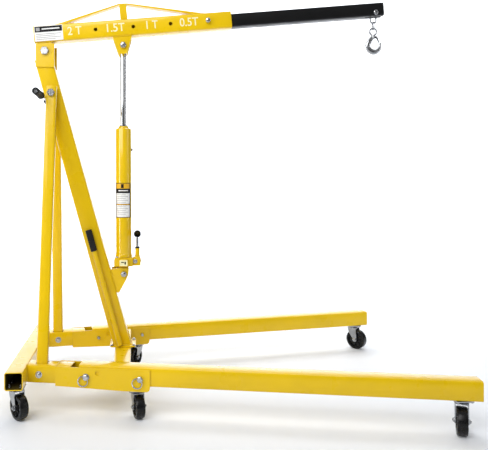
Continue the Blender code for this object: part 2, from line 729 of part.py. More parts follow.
def hook_bolt_place():
    u, v = HOOK_BOLT_U, HOOK_BOLT_V
    return (station(BOOM_PIVOT[0]) + u * math.cos(BOOM_ANGLE) - v * math.sin(BOOM_ANGLE), 0,
            BOOM_PIVOT[1] + u * math.sin(BOOM_ANGLE) + v * math.cos(BOOM_ANGLE))


def make_shackle(hook_frame):
    """A bow round the hook bolt, with a cross link hung in its foot."""
    rest = 0.0062 + SHACKLE_WIRE + GAP
    crown = rest - SHACKLE_HALF
    path = arc(0, crown, SHACKLE_HALF, 0, 180, 6)
    path += arc(0, crown - SHACKLE_DROP, SHACKLE_HALF, 180, 360, 6)
    shackle = piece("shackle", swept(path, [SHACKLE_WIRE] * len(path), 6, closed=True), ZINC, hook_frame)
    foot = crown - SHACKLE_DROP - SHACKLE_HALF
    high = foot + LINK_SEAT - LINK_RADIUS
    low = high - LINK_STRAIGHT
    ring = arc(0, high, LINK_RADIUS, 0, 180, 6) + arc(0, low, LINK_RADIUS, 180, 360, 6)
    weld(shackle, swept(ring, [LINK_WIRE] * len(ring), 6, closed=True), rotation=(0, 0, math.radians(90)))
    return low - LINK_RADIUS


def make_hook(swing_frame):
    """Eye, shank, bowl and point in one forging, in the XZ plane; the point faces forward."""
    eye_z = LINK_WIRE + GAP + HOOK_EYE_WIRE - HOOK_EYE_RADIUS
    ring = [(HOOK_EYE_RADIUS * a, eye_z + HOOK_EYE_RADIUS * b) for a, b in circle(1.0, 14)]
    neck_z = eye_z - HOOK_EYE_RADIUS - 0.004
    path = [(0.0, neck_z), (-0.0040, neck_z - 0.006), (-0.0105, neck_z - 0.014), (-0.0178, neck_z - 0.025)]
    radii = [0.0060, 0.0082, 0.0098, 0.0106]
    steps = 11
    for k, point in enumerate(arc(BOWL_FORWARD, eye_z - BOWL_DROP, BOWL_RADIUS, 172, 368, steps)):
        path.append(point)
        share = k / steps               # thickest at the bottom of the bowl
        radii.append(0.0108 + 0.0026 * share if share < 0.5 else 0.0121 - 0.0064 * (share - 0.5) / 0.5)
    end = path[-1]
    tip = (end[0] + 0.0030, end[1] + 0.0090)
    path += [(end[0] + 0.0016, end[1] + 0.0046), tip]
    radii += [0.0043, 0.0030]
    hook = piece("hook", swept(path, radii, 8, squash=0.68), ZINC, swing_frame)
    weld(hook, swept(ring, [HOOK_EYE_WIRE] * len(ring), 6, closed=True))
    collar = stack([(-0.004, circle(0.0070, 12)), (0.008, circle(0.0054, 12))])
    weld(hook, collar, location=(0, 0, neck_z - 0.001))
    pivot = (LATCH_FORWARD, eye_z - LATCH_DROP)
    ear = [(0.0020, neck_z + 0.0050)] + arc(pivot[0], pivot[1], 0.0040, 75, -75, 6)
    ear.append((-0.0040, neck_z - 0.0110))
    weld(hook, plate(ear, -LATCH_EAR / 2, LATCH_EAR / 2))
    cut(hook, rod(LATCH_PIN + GAP, -0.01, 0.01, "Y", 8), location=(pivot[0], 0, pivot[1]))
    return pivot, tip


def make_hook_latch(latch_frame, reach):
    """A sprung strip with two cheeks and a pin at the hook's ear; it closes on the hook's point."""
    length = math.hypot(reach[0], reach[1])
    turn = Matrix.Rotation(-math.atan2(reach[1], reach[0]), 4, "Y")
    inner = LATCH_EAR / 2 + GAP
    outer = inner + 0.0014
    outline = arc(0, 0, 0.0034, 90, 270, 6) + [(length, -0.0016), (length, 0.0006)]
    strip = plate(outline, -outer, outer)
    strip.transform(turn)
    latch = piece("hook_latch", strip, ZINC, latch_frame)
    gap = block((-0.010, -inner, -0.010), (0.0060, inner, 0.010))
    gap.transform(turn)
    cut(latch, gap)
    weld(latch, rod(LATCH_PIN, -inner - 0.0007, inner + 0.0007, "Y", 8))


# ---- ram and pump -----------------------------------------------------------------------

def upper_pin():
    return (station(BOOM_PIVOT[0]) + RAM_UPPER_U * math.cos(BOOM_ANGLE),
            BOOM_PIVOT[1] + RAM_UPPER_U * math.sin(BOOM_ANGLE))


def ram_length_and_lean():
    """Distance between the ram's pins, and its lean from vertical towards +X."""
    top = upper_pin()
    run = top[0] - station(RAM_PIN[0])
    rise = top[1] - RAM_PIN[1]
    return math.hypot(run, rise), math.atan2(run, rise)


def make_ram_base(ram_frame):
    base_low, base_high = 0.0300, 0.0655
    outline = [(-0.0385, base_low), (0.0690, base_low), (0.0690, base_high - 0.004), (0.0660, base_high),
               (-0.0355, base_high), (-0.0385, base_high - 0.008)]
    base = piece("ram_base", plate(outline, -0.0350, 0.0350), YELLOW, ram_frame)
    cut(base, block((0.0365, -0.08, 0.02), (0.08, -0.0150, 0.08)))
    cut(base, block((0.0365, 0.0380, 0.02), (0.08, 0.08, 0.08)))
    eye = arc(0, 0, 0.0200, 180, 360, 10) + [(0.0200, base_low + 0.005), (-0.0200, base_low + 0.005)]
    weld(base, plate(eye, -0.0255, 0.0255))
    cut(base, rod(0.0105, -0.05, 0.05, "Y", 14))
    weld(base, rod(0.0105, base_high - 0.002, base_high + 0.0060, "Z", 16), location=(PUMP_OFFSET, 0, 0))
    post = [(0.0240, base_low + 0.004), (0.0350, base_low + 0.004), (0.0365, LEVER_W - 0.010)]
    post += arc(0.0300, LEVER_W, 0.0070, 0, 180, 6) + [(0.0235, LEVER_W - 0.010)]
    weld(base, plate(post, PUMP_OFFSET - 0.0028, PUMP_OFFSET + 0.0028, "X"))
    cut(base, rod(0.0062, base_high - 0.020, base_high + 0.02, "Z", 16), location=(PUMP_OFFSET, 0, 0))
    cut(base, rod(0.0065, -0.09, -0.0200, "Y", 16), location=(0, 0, 0.0470))


def make_barrel(ram_frame):
    r = BARREL_RADIUS
    low, high = BARREL_LOW_W, BARREL_HIGH_W
    bore = 0.0205
    rod_bore = ROD_RADIUS + GAP
    profile = [(bore, low), (r + 0.0015, low), (r + 0.0015, low + 0.010), (r, low + 0.012), (r, high - 0.004),
               (r - 0.003, high - 0.001), (r - 0.006, high), (0.0210, high), (0.0200, high + 0.008),
               (rod_bore, high + 0.008), (rod_bore, high - 0.022), (bore, high - 0.022)]
    piece("ram_barrel", turned(profile, 20), YELLOW, ram_frame)


def make_ram_rod(rod_frame, length):
    """Chrome rod with its piston, in the frame of the lower pin."""
    piston_low, piston_high = length - 0.5200, length - 0.4900
    sections = [(piston_low, circle(0.0198)), (piston_high, circle(0.0198)), (piston_high, circle(ROD_RADIUS)),
                (length - 0.0120, circle(ROD_RADIUS))]
    ram_rod = piece("ram_rod", stack(sections), CHROME, rod_frame)
    weld(ram_rod, rod(0.0190, -0.0125, 0.0125, "Y", 20), location=(0, 0, length))
    cut(ram_rod, rod(0.0104, -0.03, 0.03, "Y", 14), location=(0, 0, length))


def make_release_valve(ram_frame):
    knob = piece("release_valve",
                 stack([(-0.0560, rounded_rectangle(0.034, 0.026, 0.008, 3)),
                        (-0.0530, rounded_rectangle(0.039, 0.031, 0.009, 3)),
                        (-0.0375, rounded_rectangle(0.039, 0.031, 0.009, 3))], "Y"),
                 ZINC, ram_frame, location=(0, 0, 0.0470))
    weld(knob, rod(0.0060, -0.0385, -0.0220, "Y", 16), location=(0, 0, 0.0470))
    cut(knob, block((-0.0030, -0.060, -0.0110), (0.0030, -0.0500, 0.0110)), location=(0, 0, 0.0470))


def make_pump(ram_frame, lever_frame):
    base = 0.0655
    low = base + 0.0060 + GAP
    plunger = 0.0055
    bore = plunger + GAP
    cylinder = [(bore, low), (0.0090, low), (0.0090, low + 0.030), (0.0078, low + 0.033), (bore, low + 0.033)]
    piece("pump_cylinder", turned(cylinder, 16), YELLOW, ram_frame, location=(PUMP_OFFSET, 0, 0))
    rod_low, rod_high = base - 0.010, LEVER_W - 0.022
    plunger_rod = piece("pump_plunger", rod(plunger, rod_low, rod_high, "Z", 12), ZINC, ram_frame,
                        location=(PUMP_OFFSET, 0, 0))
    weld(plunger_rod, block((-0.0024, -0.0045, rod_high - 0.004), (0.0024, 0.0045, rod_high + 0.0215)),
         location=(PUMP_OFFSET, 0, 0))

    arm = [(0.0060, -0.0070)] + arc(0, 0, 0.0075, -60, 60, 4)
    arm += [(-0.0420, 0.0095), (-0.0480, 0.0), (-0.0420, -0.0095)]
    lever = None
    for low_x, high_x in ((0.0034, 0.0062), (-0.0062, -0.0034)):
        solid = plate(arm, low_x, high_x, "X")
        if lever is None:
            lever = piece("pump_lever", solid, YELLOW, lever_frame)
        else:
            weld(lever, solid)
    socket = stack([(-0.0860, circle(0.0135)), (-0.0420, circle(0.0135))], "Y")
    weld(lever, socket)
    cut(lever, rod(0.0110, -0.10, -0.0480, "Y"))


# ---- casters ----------------------------------------------------------------------------

def make_caster(name, place, wheel_radius, wheel_width, trail, turn):
    """Top plate, swivel fork with axle and kingpin, and wheel; place is the plate's top centre."""
    plate_thickness = 0.004
    race_high = -plate_thickness
    race_low = race_high - 0.007
    top_plate = piece(name + "_plate",
                      plate(rounded_rectangle(0.062, 0.058, 0.006), -plate_thickness, 0.0, "Z"),
                      ZINC, location=(place[0], place[1], place[2] - GAP))
    weld(top_plate, stack([(race_low, circle(0.0210, 16)), (race_high + 0.001, circle(0.0240, 16))]),
         location=(place[0], place[1], place[2] - GAP))
    cut(top_plate, rod(0.0056, -0.02, 0.01, "Z", 8), location=(place[0], place[1], place[2]))

    swivel = frame(name + "_swivel", (place[0], place[1], place[2]), (0, 0, turn))
    drop = place[2] - wheel_radius
    crown_high = race_low - GAP - 0.0004
    crown_low = crown_high - 0.003
    inner = wheel_width / 2 + 0.0015
    outer = inner + 0.0028
    cheek = [(-0.0200, crown_high), (0.0230, crown_high), (0.0260, -drop * 0.55)]
    cheek += arc(trail, -drop, 0.0105, 20, -200, 6)
    cheek += [(-0.0120, -drop * 0.55)]
    fork = piece(name + "_fork", plate(cheek, -outer, outer), ZINC, swivel)
    cut(fork, block((-0.06, -inner, -drop - 0.05), (0.09, inner, crown_low)))
    weld(fork, rod(0.0050, crown_low - 0.0012, -0.0008, "Z", 8))
    nut, shank = circle(0.0068, 6), circle(0.0043, 6)
    axle_half = outer + 0.0046
    weld(fork, stack([(-axle_half, nut), (-outer - 0.0002, nut),
                      (-outer - 0.0002, shank), (outer + 0.0002, shank),
                      (outer + 0.0002, nut), (axle_half, nut)], "Y"), location=(trail, 0, -drop))
    weld(fork, stack([(crown_low + 0.0002, circle(0.0215, 16)), (crown_high - 0.0001, circle(0.0215, 16))]))

    axle = frame(name + "_axle", (trail, 0, -drop), parent=swivel)
    r = wheel_radius
    half = wheel_width / 2
    bore = 0.0046
    hub = 0.0120
    rim = r * 0.70
    profile = [(bore, half - 0.001), (hub, half - 0.001), (rim, half - 0.006), (rim + 0.001, half),
               (r - 0.003, half - 0.001), (r, half - 0.006)]
    profile += [(radius, -h) for radius, h in reversed(profile)]
    piece(name + "_wheel", turned(profile, WHEEL_SIDES, "Y", phase=-math.pi / 2), WHEEL, axle)


# ---- assembly ---------------------------------------------------------------------------

def make_side(side, sign):
    side_frame = frame("side_" + side, (station(TUBE), sign * RAIL_START_Y, 0), (0, 0, sign * SPLAY))
    make_rail(side, sign, side_frame)
    make_channel(side, sign, side_frame)
    leg_frame = frame("leg_pivot_" + side, (along_side(PIVOT_STATION), 0, PIVOT_Z), parent=side_frame)
    make_leg(side, sign, leg_frame)
    make_ring_pin("leg_pivot_pin_" + side, sign, side_frame, (along_side(PIVOT_STATION), 0, PIVOT_Z))
    make_ring_pin("leg_lock_pin_" + side, sign, side_frame, (along_side(LOCK_STATION), 0, LOCK_Z))


def make_mast_group():
    mast_frame = frame("mast_foot", (station(MAST_FOOT), 0, TOP), (0, -MAST_LEAN, 0))
    make_mast(mast_frame)
    make_head_plates()
    make_ram_bracket()
    for side, sign in SIDES:
        make_brace(side, sign)
    make_mast_bolt()
    make_push_handle()
    make_pump_handle(mast_frame)
    make_handle_holder(mast_frame)


def make_boom_group():
    boom_frame = frame("boom_pivot", (station(BOOM_PIVOT[0]), 0, BOOM_PIVOT[1]), (0, -BOOM_ANGLE, 0))
    make_boom(boom_frame)
    make_boom_ram_bracket(boom_frame)
    make_truss(boom_frame)
    make_boom_lock_pin(boom_frame)
    make_extension(boom_frame)


def make_hook_group():
    hook_frame = frame("hook_hanger", hook_bolt_place())
    link_foot = make_shackle(hook_frame)
    swing_frame = frame("hook_eye", (0, 0, link_foot), parent=hook_frame)
    pivot, tip = make_hook(swing_frame)
    latch_frame = frame("latch_pivot", (pivot[0], 0, pivot[1]), parent=swing_frame)
    make_hook_latch(latch_frame, (tip[0] - 0.0058 - pivot[0], tip[1] + 0.0003 - pivot[1]))


def make_ram_group():
    length, lean = ram_length_and_lean()
    ram_frame = frame("ram_pivot", (station(RAM_PIN[0]), 0, RAM_PIN[1]), (0, lean, 0))
    make_ram_base(ram_frame)
    make_barrel(ram_frame)
    make_ram_rod(ram_frame, length)
    make_release_valve(ram_frame)
    lever_frame = frame("lever_pivot", (PUMP_OFFSET, 0.0300, LEVER_W), parent=ram_frame)
    make_pump(ram_frame, lever_frame)


def make_casters():
    rows = (
        # name, station, y, height of the mounting face, wheel radius, width, trail, turns (left, right)
        ("rear", TUBE / 2, CROSS_HALF - 0.050, TOP - TUBE, 0.0450, 0.032, 0.022, (-70, -52)),
        ("mid", 0.4670, side_y(0.4670), TOP - CHANNEL_FRONT_DEPTH, 0.0415, 0.032, 0.020, (-125, -76)),
        ("front", 1.5620, side_y(1.5620), TOP + LEG_RISE - LEG_HEIGHT, 0.0475, 0.034, 0.018, (-48, -116)),
    )
    for name, at, y, z, radius, width, trail, turns in rows:
        for (side, sign), turn in zip(SIDES, turns):
            make_caster("caster_" + name + "_" + side, (station(at), sign * y, z), radius, width, trail,
                        math.radians(turn))


make_rear_crossmember()
make_mast_crossmember()
for side_name, side_sign in SIDES:
    make_side(side_name, side_sign)
make_mast_group()
make_boom_group()
make_hook_group()
make_ram_group()
make_casters()
bpy.context.view_layer.update()
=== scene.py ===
"""Looks of the engine hoist crane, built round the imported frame."""

import json
import math

import bmesh
import bpy
from mathutils import Matrix, Vector


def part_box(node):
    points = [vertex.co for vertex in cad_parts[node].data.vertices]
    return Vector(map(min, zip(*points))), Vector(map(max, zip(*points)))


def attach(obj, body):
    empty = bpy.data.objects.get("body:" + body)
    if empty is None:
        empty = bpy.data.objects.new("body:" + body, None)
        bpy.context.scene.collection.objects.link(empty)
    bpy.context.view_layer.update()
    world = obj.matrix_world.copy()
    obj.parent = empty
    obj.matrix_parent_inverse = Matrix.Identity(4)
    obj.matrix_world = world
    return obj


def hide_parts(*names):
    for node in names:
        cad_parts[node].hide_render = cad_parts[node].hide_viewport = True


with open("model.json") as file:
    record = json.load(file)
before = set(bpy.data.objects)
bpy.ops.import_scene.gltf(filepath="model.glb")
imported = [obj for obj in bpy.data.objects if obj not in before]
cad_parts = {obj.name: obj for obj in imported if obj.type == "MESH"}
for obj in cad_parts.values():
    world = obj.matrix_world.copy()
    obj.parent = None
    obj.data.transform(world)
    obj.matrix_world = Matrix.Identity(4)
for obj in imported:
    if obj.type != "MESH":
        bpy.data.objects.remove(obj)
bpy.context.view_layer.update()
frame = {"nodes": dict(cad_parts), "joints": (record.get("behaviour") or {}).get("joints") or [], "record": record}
NODES = frame["nodes"]
JOINTS = {j["name"]: j for j in frame["joints"]}


# ---- local frames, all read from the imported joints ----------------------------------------

def axes(origin, x, y, z):
    """Matrix with those axes at an origin."""
    rows = Matrix((Vector(x), Vector(y), Vector(z))).transposed()
    return Matrix.Translation(Vector(origin)) @ rows.to_4x4()


def upright(origin):
    return Matrix.Translation(Vector(origin))


UP = Vector((0, 0, 1))
ACROSS = Vector((0, 1, 0))
BOOM_U = Vector(JOINTS["extension_slide"]["axis"]).normalized()
BOOM = axes(JOINTS["boom_lift"]["pos_m"], BOOM_U, ACROSS, BOOM_U.cross(ACROSS))
RAM_W = Vector(JOINTS["rod_slide"]["axis"]).normalized()
RAM = axes(JOINTS["ram_tilt"]["pos_m"], ACROSS.cross(RAM_W), ACROSS, RAM_W)
MAST_W = Vector(JOINTS["pump_handle_pull"]["axis"]).normalized()
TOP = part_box("rear_crossmember")[1].z
SIDE_SIGN = {"left": 1, "right": -1}


def side_frame(side):
    """At the leg's pivot pin: x along the leg, y across it to the crane's left."""
    joint = JOINTS["leg_fold_" + side]
    across = -Vector(joint["axis"]).normalized()
    return axes(joint["pos_m"], across.cross(UP), across, UP)


# ---- materials ------------------------------------------------------------------------------

class Nodes:
    """Short calls for building a material's nodes."""

    def __init__(self, name):
        self.material = bpy.data.materials.new(name)
        self.material.use_nodes = True
        self.tree = self.material.node_tree
        self.shader = self.tree.nodes["Principled BSDF"]
        self.coords = self.tree.nodes.new("ShaderNodeTexCoord").outputs["Object"]

    def add(self, kind, **settings):
        node = self.tree.nodes.new(kind)
        for key, value in settings.items():
            setattr(node, key, value)
        return node

    def link(self, out, socket):
        self.tree.links.new(out, socket)

    def noise(self, scale, detail, stretch=None):
        node = self.add("ShaderNodeTexNoise")
        node.inputs["Scale"].default_value = scale
        node.inputs["Detail"].default_value = detail
        if stretch is None:
            self.link(self.coords, node.inputs["Vector"])
        else:
            mapping = self.add("ShaderNodeMapping")
            mapping.inputs["Scale"].default_value = stretch
            self.link(self.coords, mapping.inputs["Vector"])
            self.link(mapping.outputs["Vector"], node.inputs["Vector"])
        return node.outputs["Fac"]

    def ramp(self, fac, stops):
        node = self.add("ShaderNodeValToRGB")
        elements = node.color_ramp.elements
        while len(elements) < len(stops):
            elements.new(0.5)
        for element, (at, colour) in zip(elements, stops):
            element.position = at
            element.color = (*colour, 1.0)
        self.link(fac, node.inputs["Fac"])
        return node.outputs["Color"]

    def spread(self, fac, low, high, start=0.3, end=0.7):
        node = self.add("ShaderNodeMapRange")
        for key, value in (("From Min", start), ("From Max", end), ("To Min", low), ("To Max", high)):
            node.inputs[key].default_value = value
        self.link(fac, node.inputs["Value"])
        return node.outputs["Result"]

    def lay_over(self, fac, under, colour):
        """A fixed colour over a colour output."""
        node = self.add("ShaderNodeMix", data_type="RGBA")
        under_socket, over_socket = (s for s in node.inputs if s.type == "RGBA")
        self.link(fac, node.inputs["Factor"])
        self.link(under, under_socket)
        over_socket.default_value = (*colour, 1.0)
        return next(s for s in node.outputs if s.type == "RGBA")

    def times(self, a, b):
        node = self.add("ShaderNodeMath", operation="MULTIPLY")
        self.link(a, node.inputs[0])
        self.link(b, node.inputs[1])
        return node.outputs[0]

    def bump(self, height, strength, distance, below=None):
        node = self.add("ShaderNodeBump")
        node.inputs["Strength"].default_value = strength
        node.inputs["Distance"].default_value = distance
        self.link(height, node.inputs["Height"])
        if below is not None:
            self.link(below, node.inputs["Normal"])
        return node.outputs["Normal"]

    def edges(self, radius):
        """1 on sharp edges, 0 on flats."""
        soft = self.add("ShaderNodeBevel", samples=4)
        soft.inputs["Radius"].default_value = radius
        geometry = self.add("ShaderNodeNewGeometry")
        dot = self.add("ShaderNodeVectorMath", operation="DOT_PRODUCT")
        self.link(soft.outputs["Normal"], dot.inputs[0])
        self.link(geometry.outputs["Normal"], dot.inputs[1])
        return self.spread(dot.outputs["Value"], 1.0, 0.0, 0.80, 0.985)

    def set(self, name, value):
        self.shader.inputs[name].default_value = value

    def feed(self, name, out):
        self.link(out, self.shader.inputs[name])

    def mottle(self, colour, noise, darkest, brightest):
        """Base colour drifting between two (place on the ramp, brightness) pairs."""
        stops = [(place, scaled(colour, level)) for place, level in (darkest, brightest)]
        out = self.ramp(noise, stops)
        self.feed("Base Color", out)
        return out


def scaled(colour, factor):
    return tuple(min(1.0, c * factor) for c in colour)


def enamel(name, colour, worn, roughness, coat, wear, coat_index=1.28):
    """Sprayed enamel: orange peel, slight colour drift, duller patches, rubbed edges."""
    n = Nodes(name)
    drift = n.mottle(colour, n.noise(5.0, 4.0), (0.30, 0.93), (0.70, 1.04))
    rubbed = n.times(n.edges(0.0014), n.spread(n.noise(60.0, 5.0), 0.0, wear, 0.45, 0.70))
    n.feed("Base Color", n.lay_over(rubbed, drift, worn))
    n.feed("Roughness", n.spread(n.noise(14.0, 5.0), roughness * 0.8, roughness * 1.3))
    peel = n.bump(n.noise(520.0, 2.0), 0.22, 0.0004)
    n.feed("Normal", n.bump(n.noise(38.0, 2.0), 0.10, 0.0006, peel))
    n.set("Coat Weight", coat)
    n.set("Coat Roughness", 0.10)
    n.set("Coat IOR", coat_index)
    n.set("Specular IOR Level", 0.18)
    return n.material


def plated(name, colour, roughness, grain, stretch=None, even=0.80, relief=0.10):
    """Plated or turned metal with fine grain and cloudy patches."""
    n = Nodes(name)
    n.mottle(colour, n.noise(45.0, 5.0), (0.30, even), (0.72, 1.06))
    n.feed("Roughness", n.spread(n.noise(grain, 4.0, stretch), roughness * 0.7, roughness * 1.4))
    n.feed("Normal", n.bump(n.noise(grain, 3.0, stretch), relief, 0.0002))
    n.set("Metallic", 1.0)
    return n.material


def moulded(name, colour, roughness, speckle, depth):
    """Moulded rubber or plastic with a fine pebbled skin."""
    n = Nodes(name)
    n.mottle(colour, n.noise(30.0, 5.0), (0.30, 0.75), (0.75, 1.35))
    n.feed("Roughness", n.spread(n.noise(80.0, 4.0), roughness * 0.85, min(1.0, roughness * 1.2)))
    n.feed("Normal", n.bump(n.noise(speckle, 3.0), 0.25, depth))
    n.set("Specular IOR Level", 0.28)
    return n.material


def flat_film(name, colour, gloss=0.5):
    """Ink or film: nearly flat, with a faint mottle. Also used for the painted highlight and painted shade on the
    valve knob.
    """
    n = Nodes(name)
    n.mottle(colour, n.noise(160.0, 3.0), (0.30, 0.94), (0.70, 1.03))
    n.feed("Roughness", n.spread(n.noise(300.0, 3.0), 0.34, 0.46))
    n.feed("Normal", n.bump(n.noise(700.0, 2.0), 0.08, 0.0001))
    n.set("Specular IOR Level", gloss)
    return n.material


YELLOW_COLOUR = (0.775, 0.508, 0.003)
WORN_YELLOW = (0.88, 0.66, 0.12)
YELLOW = enamel("yellow_enamel", YELLOW_COLOUR, WORN_YELLOW, 0.30, 1.0, 0.45)
RAM_YELLOW = enamel("ram_enamel", YELLOW_COLOUR, WORN_YELLOW, 0.22, 1.0, 0.45, 1.55)
WELD = enamel("yellow_weld", scaled(YELLOW_COLOUR, 0.94), WORN_YELLOW, 0.36, 0.8, 0.2)
BLACK = enamel("black_enamel", (0.0075, 0.0075, 0.008), (0.06, 0.06, 0.06), 0.34, 0.25, 0.5)
ZINC = plated("zinc_plate", (0.40, 0.41, 0.425), 0.20, 160.0)
BRIGHT = plated("zinc_bolt", (0.56, 0.57, 0.59), 0.24, 140.0)
FORGED = plated("zinc_forged", (0.50, 0.51, 0.53), 0.22, 90.0)
CHROME = plated("hard_chrome", (0.72, 0.73, 0.75), 0.07, 220.0, (1.0, 1.0, 18.0), 0.95, 0.015)
# Painted shade: dark olive-brown for the liner inside the crossmember's open ends, where shade falls.
TUBE_SHADE = enamel("painted_shade_tube_inside", (0.060, 0.043, 0.006), (0.12, 0.09, 0.02), 0.60, 0.1, 0.3)
RUBBER = moulded("grip_rubber", (0.008, 0.008, 0.0085), 0.58, 420.0, 0.0004)
WHEEL = moulded("wheel_tread", (0.0030, 0.0030, 0.0033), 0.26, 300.0, 0.0002)
HUB = moulded("wheel_hub", (0.006, 0.006, 0.0065), 0.28, 240.0, 0.0002)
# Dark moulded finish for the filler screw and seal cap; also painted shade in the lever socket's bore.
DARK_AND_SHADE = moulded("dark_plugs_and_bore_shade", (0.010, 0.010, 0.011), 0.50, 200.0, 0.0002)
WHITE_PRINT = flat_film("white_print", (0.86, 0.86, 0.84))
# Black ink for the labels; also painted shade in the release valve's slot.
BLACK_PRINT_AND_SHADE = flat_film("black_print_and_shade", (0.008, 0.008, 0.009), 0.2)
# Cream for the capacity figures; also a painted highlight on the release valve's knob.
MARK_PRINT_AND_HIGHLIGHT = flat_film("cream_print_and_highlight", (0.90, 0.85, 0.50))
GREY_PRINT = flat_film("grey_print", (0.33, 0.33, 0.33))
AMBER_PRINT = flat_film("amber_print", (0.80, 0.44, 0.010))

SLOT_OF = {
    "yellow_paint": YELLOW, "black_paint": BLACK, "zinc_plate": ZINC, "chrome": CHROME,
    "black_rubber": RUBBER, "wheel_black": WHEEL,
}


# ---- carried-over nodes: material, soft edges, smooth curves ----------------------------------

def smooth_group():
    """Joins the facets' corners and shades across shallow edges, without touching the mesh."""
    tree = bpy.data.node_groups.new("smooth_shallow_edges", "GeometryNodeTree")
    tree.interface.new_socket("Geometry", in_out="INPUT", socket_type="NodeSocketGeometry")
    tree.interface.new_socket("Geometry", in_out="OUTPUT", socket_type="NodeSocketGeometry")
    node = tree.nodes.new
    start, end = node("NodeGroupInput"), node("NodeGroupOutput")
    drop = node("GeometryNodeRemoveAttribute")
    drop.inputs["Name"].default_value = "custom_normal"
    merge = node("GeometryNodeMergeByDistance")
    merge.inputs["Distance"].default_value = 0.00002
    faces = node("GeometryNodeSetShadeSmooth")
    faces.domain = "FACE"
    edges = node("GeometryNodeSetShadeSmooth")
    edges.domain = "EDGE"
    angle = node("GeometryNodeInputMeshEdgeAngle")
    shallow = node("FunctionNodeCompare")
    shallow.operation = "LESS_THAN"
    shallow.inputs["B"].default_value = math.radians(38)
    links = tree.links.new
    links(start.outputs[0], drop.inputs["Geometry"])
    links(drop.outputs["Geometry"], merge.inputs["Geometry"])
    links(merge.outputs["Geometry"], faces.inputs["Geometry"])
    links(faces.outputs["Geometry"], edges.inputs["Geometry"])
    links(angle.outputs["Unsigned Angle"], shallow.inputs["A"])
    links(shallow.outputs["Result"], edges.inputs["Shade Smooth"])
    links(edges.outputs["Geometry"], end.inputs[0])
    return tree


SMOOTH = smooth_group()


def round_edges(item, width):
    """A narrow round on the sharp edges."""
    bevel = item.modifiers.new("edges", "BEVEL")
    bevel.width = width
    bevel.segments = 2
    bevel.limit_method = "ANGLE"
    bevel.angle_limit = math.radians(40)
    bevel.harden_normals = True


EDGE_WIDTH = {
    "leg_left": 0.0010, "leg_right": 0.0010, "rail_left": 0.0008, "rail_right": 0.0008,
    "leg_channel_left": 0.0009, "leg_channel_right": 0.0009, "rear_crossmember": 0.0009,
    "mast_crossmember": 0.0008, "mast": 0.0008, "mast_head_plate_left": 0.0010,
    "mast_head_plate_right": 0.0010, "boom": 0.0008, "boom_extension": 0.0008, "boom_truss": 0.0009,
    "boom_ram_bracket": 0.0008, "ram_bracket": 0.0008, "ram_base": 0.0011, "brace_left": 0.0006,
    "brace_right": 0.0006, "release_valve": 0.0010, "pump_lever": 0.0004, "handle_holder": 0.0003,
}

OWN_FINISH = {
    "boom_pivot_bolt": BRIGHT, "brace_bolt": BRIGHT, "hook_bolt": BRIGHT, "boom_lock_pin": BRIGHT,
    "leg_pivot_pin_left": BRIGHT, "leg_pivot_pin_right": BRIGHT, "leg_lock_pin_left": BRIGHT,
    "leg_lock_pin_right": BRIGHT, "release_valve": RAM_YELLOW,
}

for subpart in frame["record"]["subparts"]:
    cad = NODES[subpart["node"]]
    cad.data.materials.clear()
    cad.data.materials.append(OWN_FINISH.get(subpart["node"], SLOT_OF[subpart["material_slot"]]))
    cad.modifiers.new("smooth", "NODES").node_group = SMOOTH
    if subpart["node"] in EDGE_WIDTH:
        round_edges(cad, EDGE_WIDTH[subpart["node"]])


# ---- mesh tools -------------------------------------------------------------------------------

def ring_points(radius, sides):
    angles = [2 * math.pi * k / sides for k in range(sides)]
    return [(radius * math.cos(angle), radius * math.sin(angle)) for angle in angles]


def bridge(bm, low, high):
    for k in range(len(low)):
        following = (k + 1) % len(low)
        bm.faces.new((low[k], low[following], high[following], high[k]))


def add_stack(bm, sections, matrix=Matrix.Identity(4)):
    """Solid through outlines [(height, points), ...] along the matrix's z."""
    rings = [[bm.verts.new(matrix @ Vector((x, y, height))) for x, y in points]
             for height, points in sections]
    for low, high in zip(rings, rings[1:]):
        bridge(bm, low, high)
    bm.faces.new(list(reversed(rings[0])))
    bm.faces.new(rings[-1])


def add_turned(bm, profile, sides, matrix=Matrix.Identity(4)):
    """Closed (radius, height) profile revolved about the matrix's z."""
    rings = []
    for k in range(sides):
        cos, sin = math.cos(2 * math.pi * k / sides), math.sin(2 * math.pi * k / sides)
        rings.append([bm.verts.new(matrix @ Vector((r * cos, r * sin, h))) for r, h in profile])
    for k in range(sides):
        bridge(bm, rings[k], rings[(k + 1) % sides])


def add_swept(bm, path, radii, sides, closed=False, squash=1.0, wide=None):
    """Round bar along 3-D points; wide is the direction across which squash narrows it."""
    count = len(path)
    rings = []
    wide = wide or Vector((0, 1, 0))
    for k, point in enumerate(path):
        before = path[(k - 1) % count] if closed or k > 0 else path[k]
        after = path[(k + 1) % count] if closed or k < count - 1 else path[k]
        along = (after - before).normalized()
        side = along.cross(wide).normalized()
        other = side.cross(along).normalized()
        rings.append([bm.verts.new(point + side * a * radii[k] + other * b * radii[k] * squash)
                      for a, b in ring_points(1.0, sides)])
    for low, high in zip(rings, rings[1:]):
        bridge(bm, low, high)
    if closed:
        bridge(bm, rings[-1], rings[0])
    else:
        bm.faces.new(list(reversed(rings[0])))
        bm.faces.new(rings[-1])


def add_prism(bm, outline, low, high, matrix=Matrix.Identity(4)):
    add_stack(bm, [(low, outline), (high, outline)], matrix)


def add_stud(bm, base, top, radius, sides, matrix, chamfer=0.0006, drop=0.0006):
    """Round bar end with a chamfer that takes off the last drop of its height."""
    add_stack(bm, [(base, ring_points(radius, sides)), (top - drop, ring_points(radius, sides)),
                   (top, ring_points(radius - chamfer, sides))], matrix)


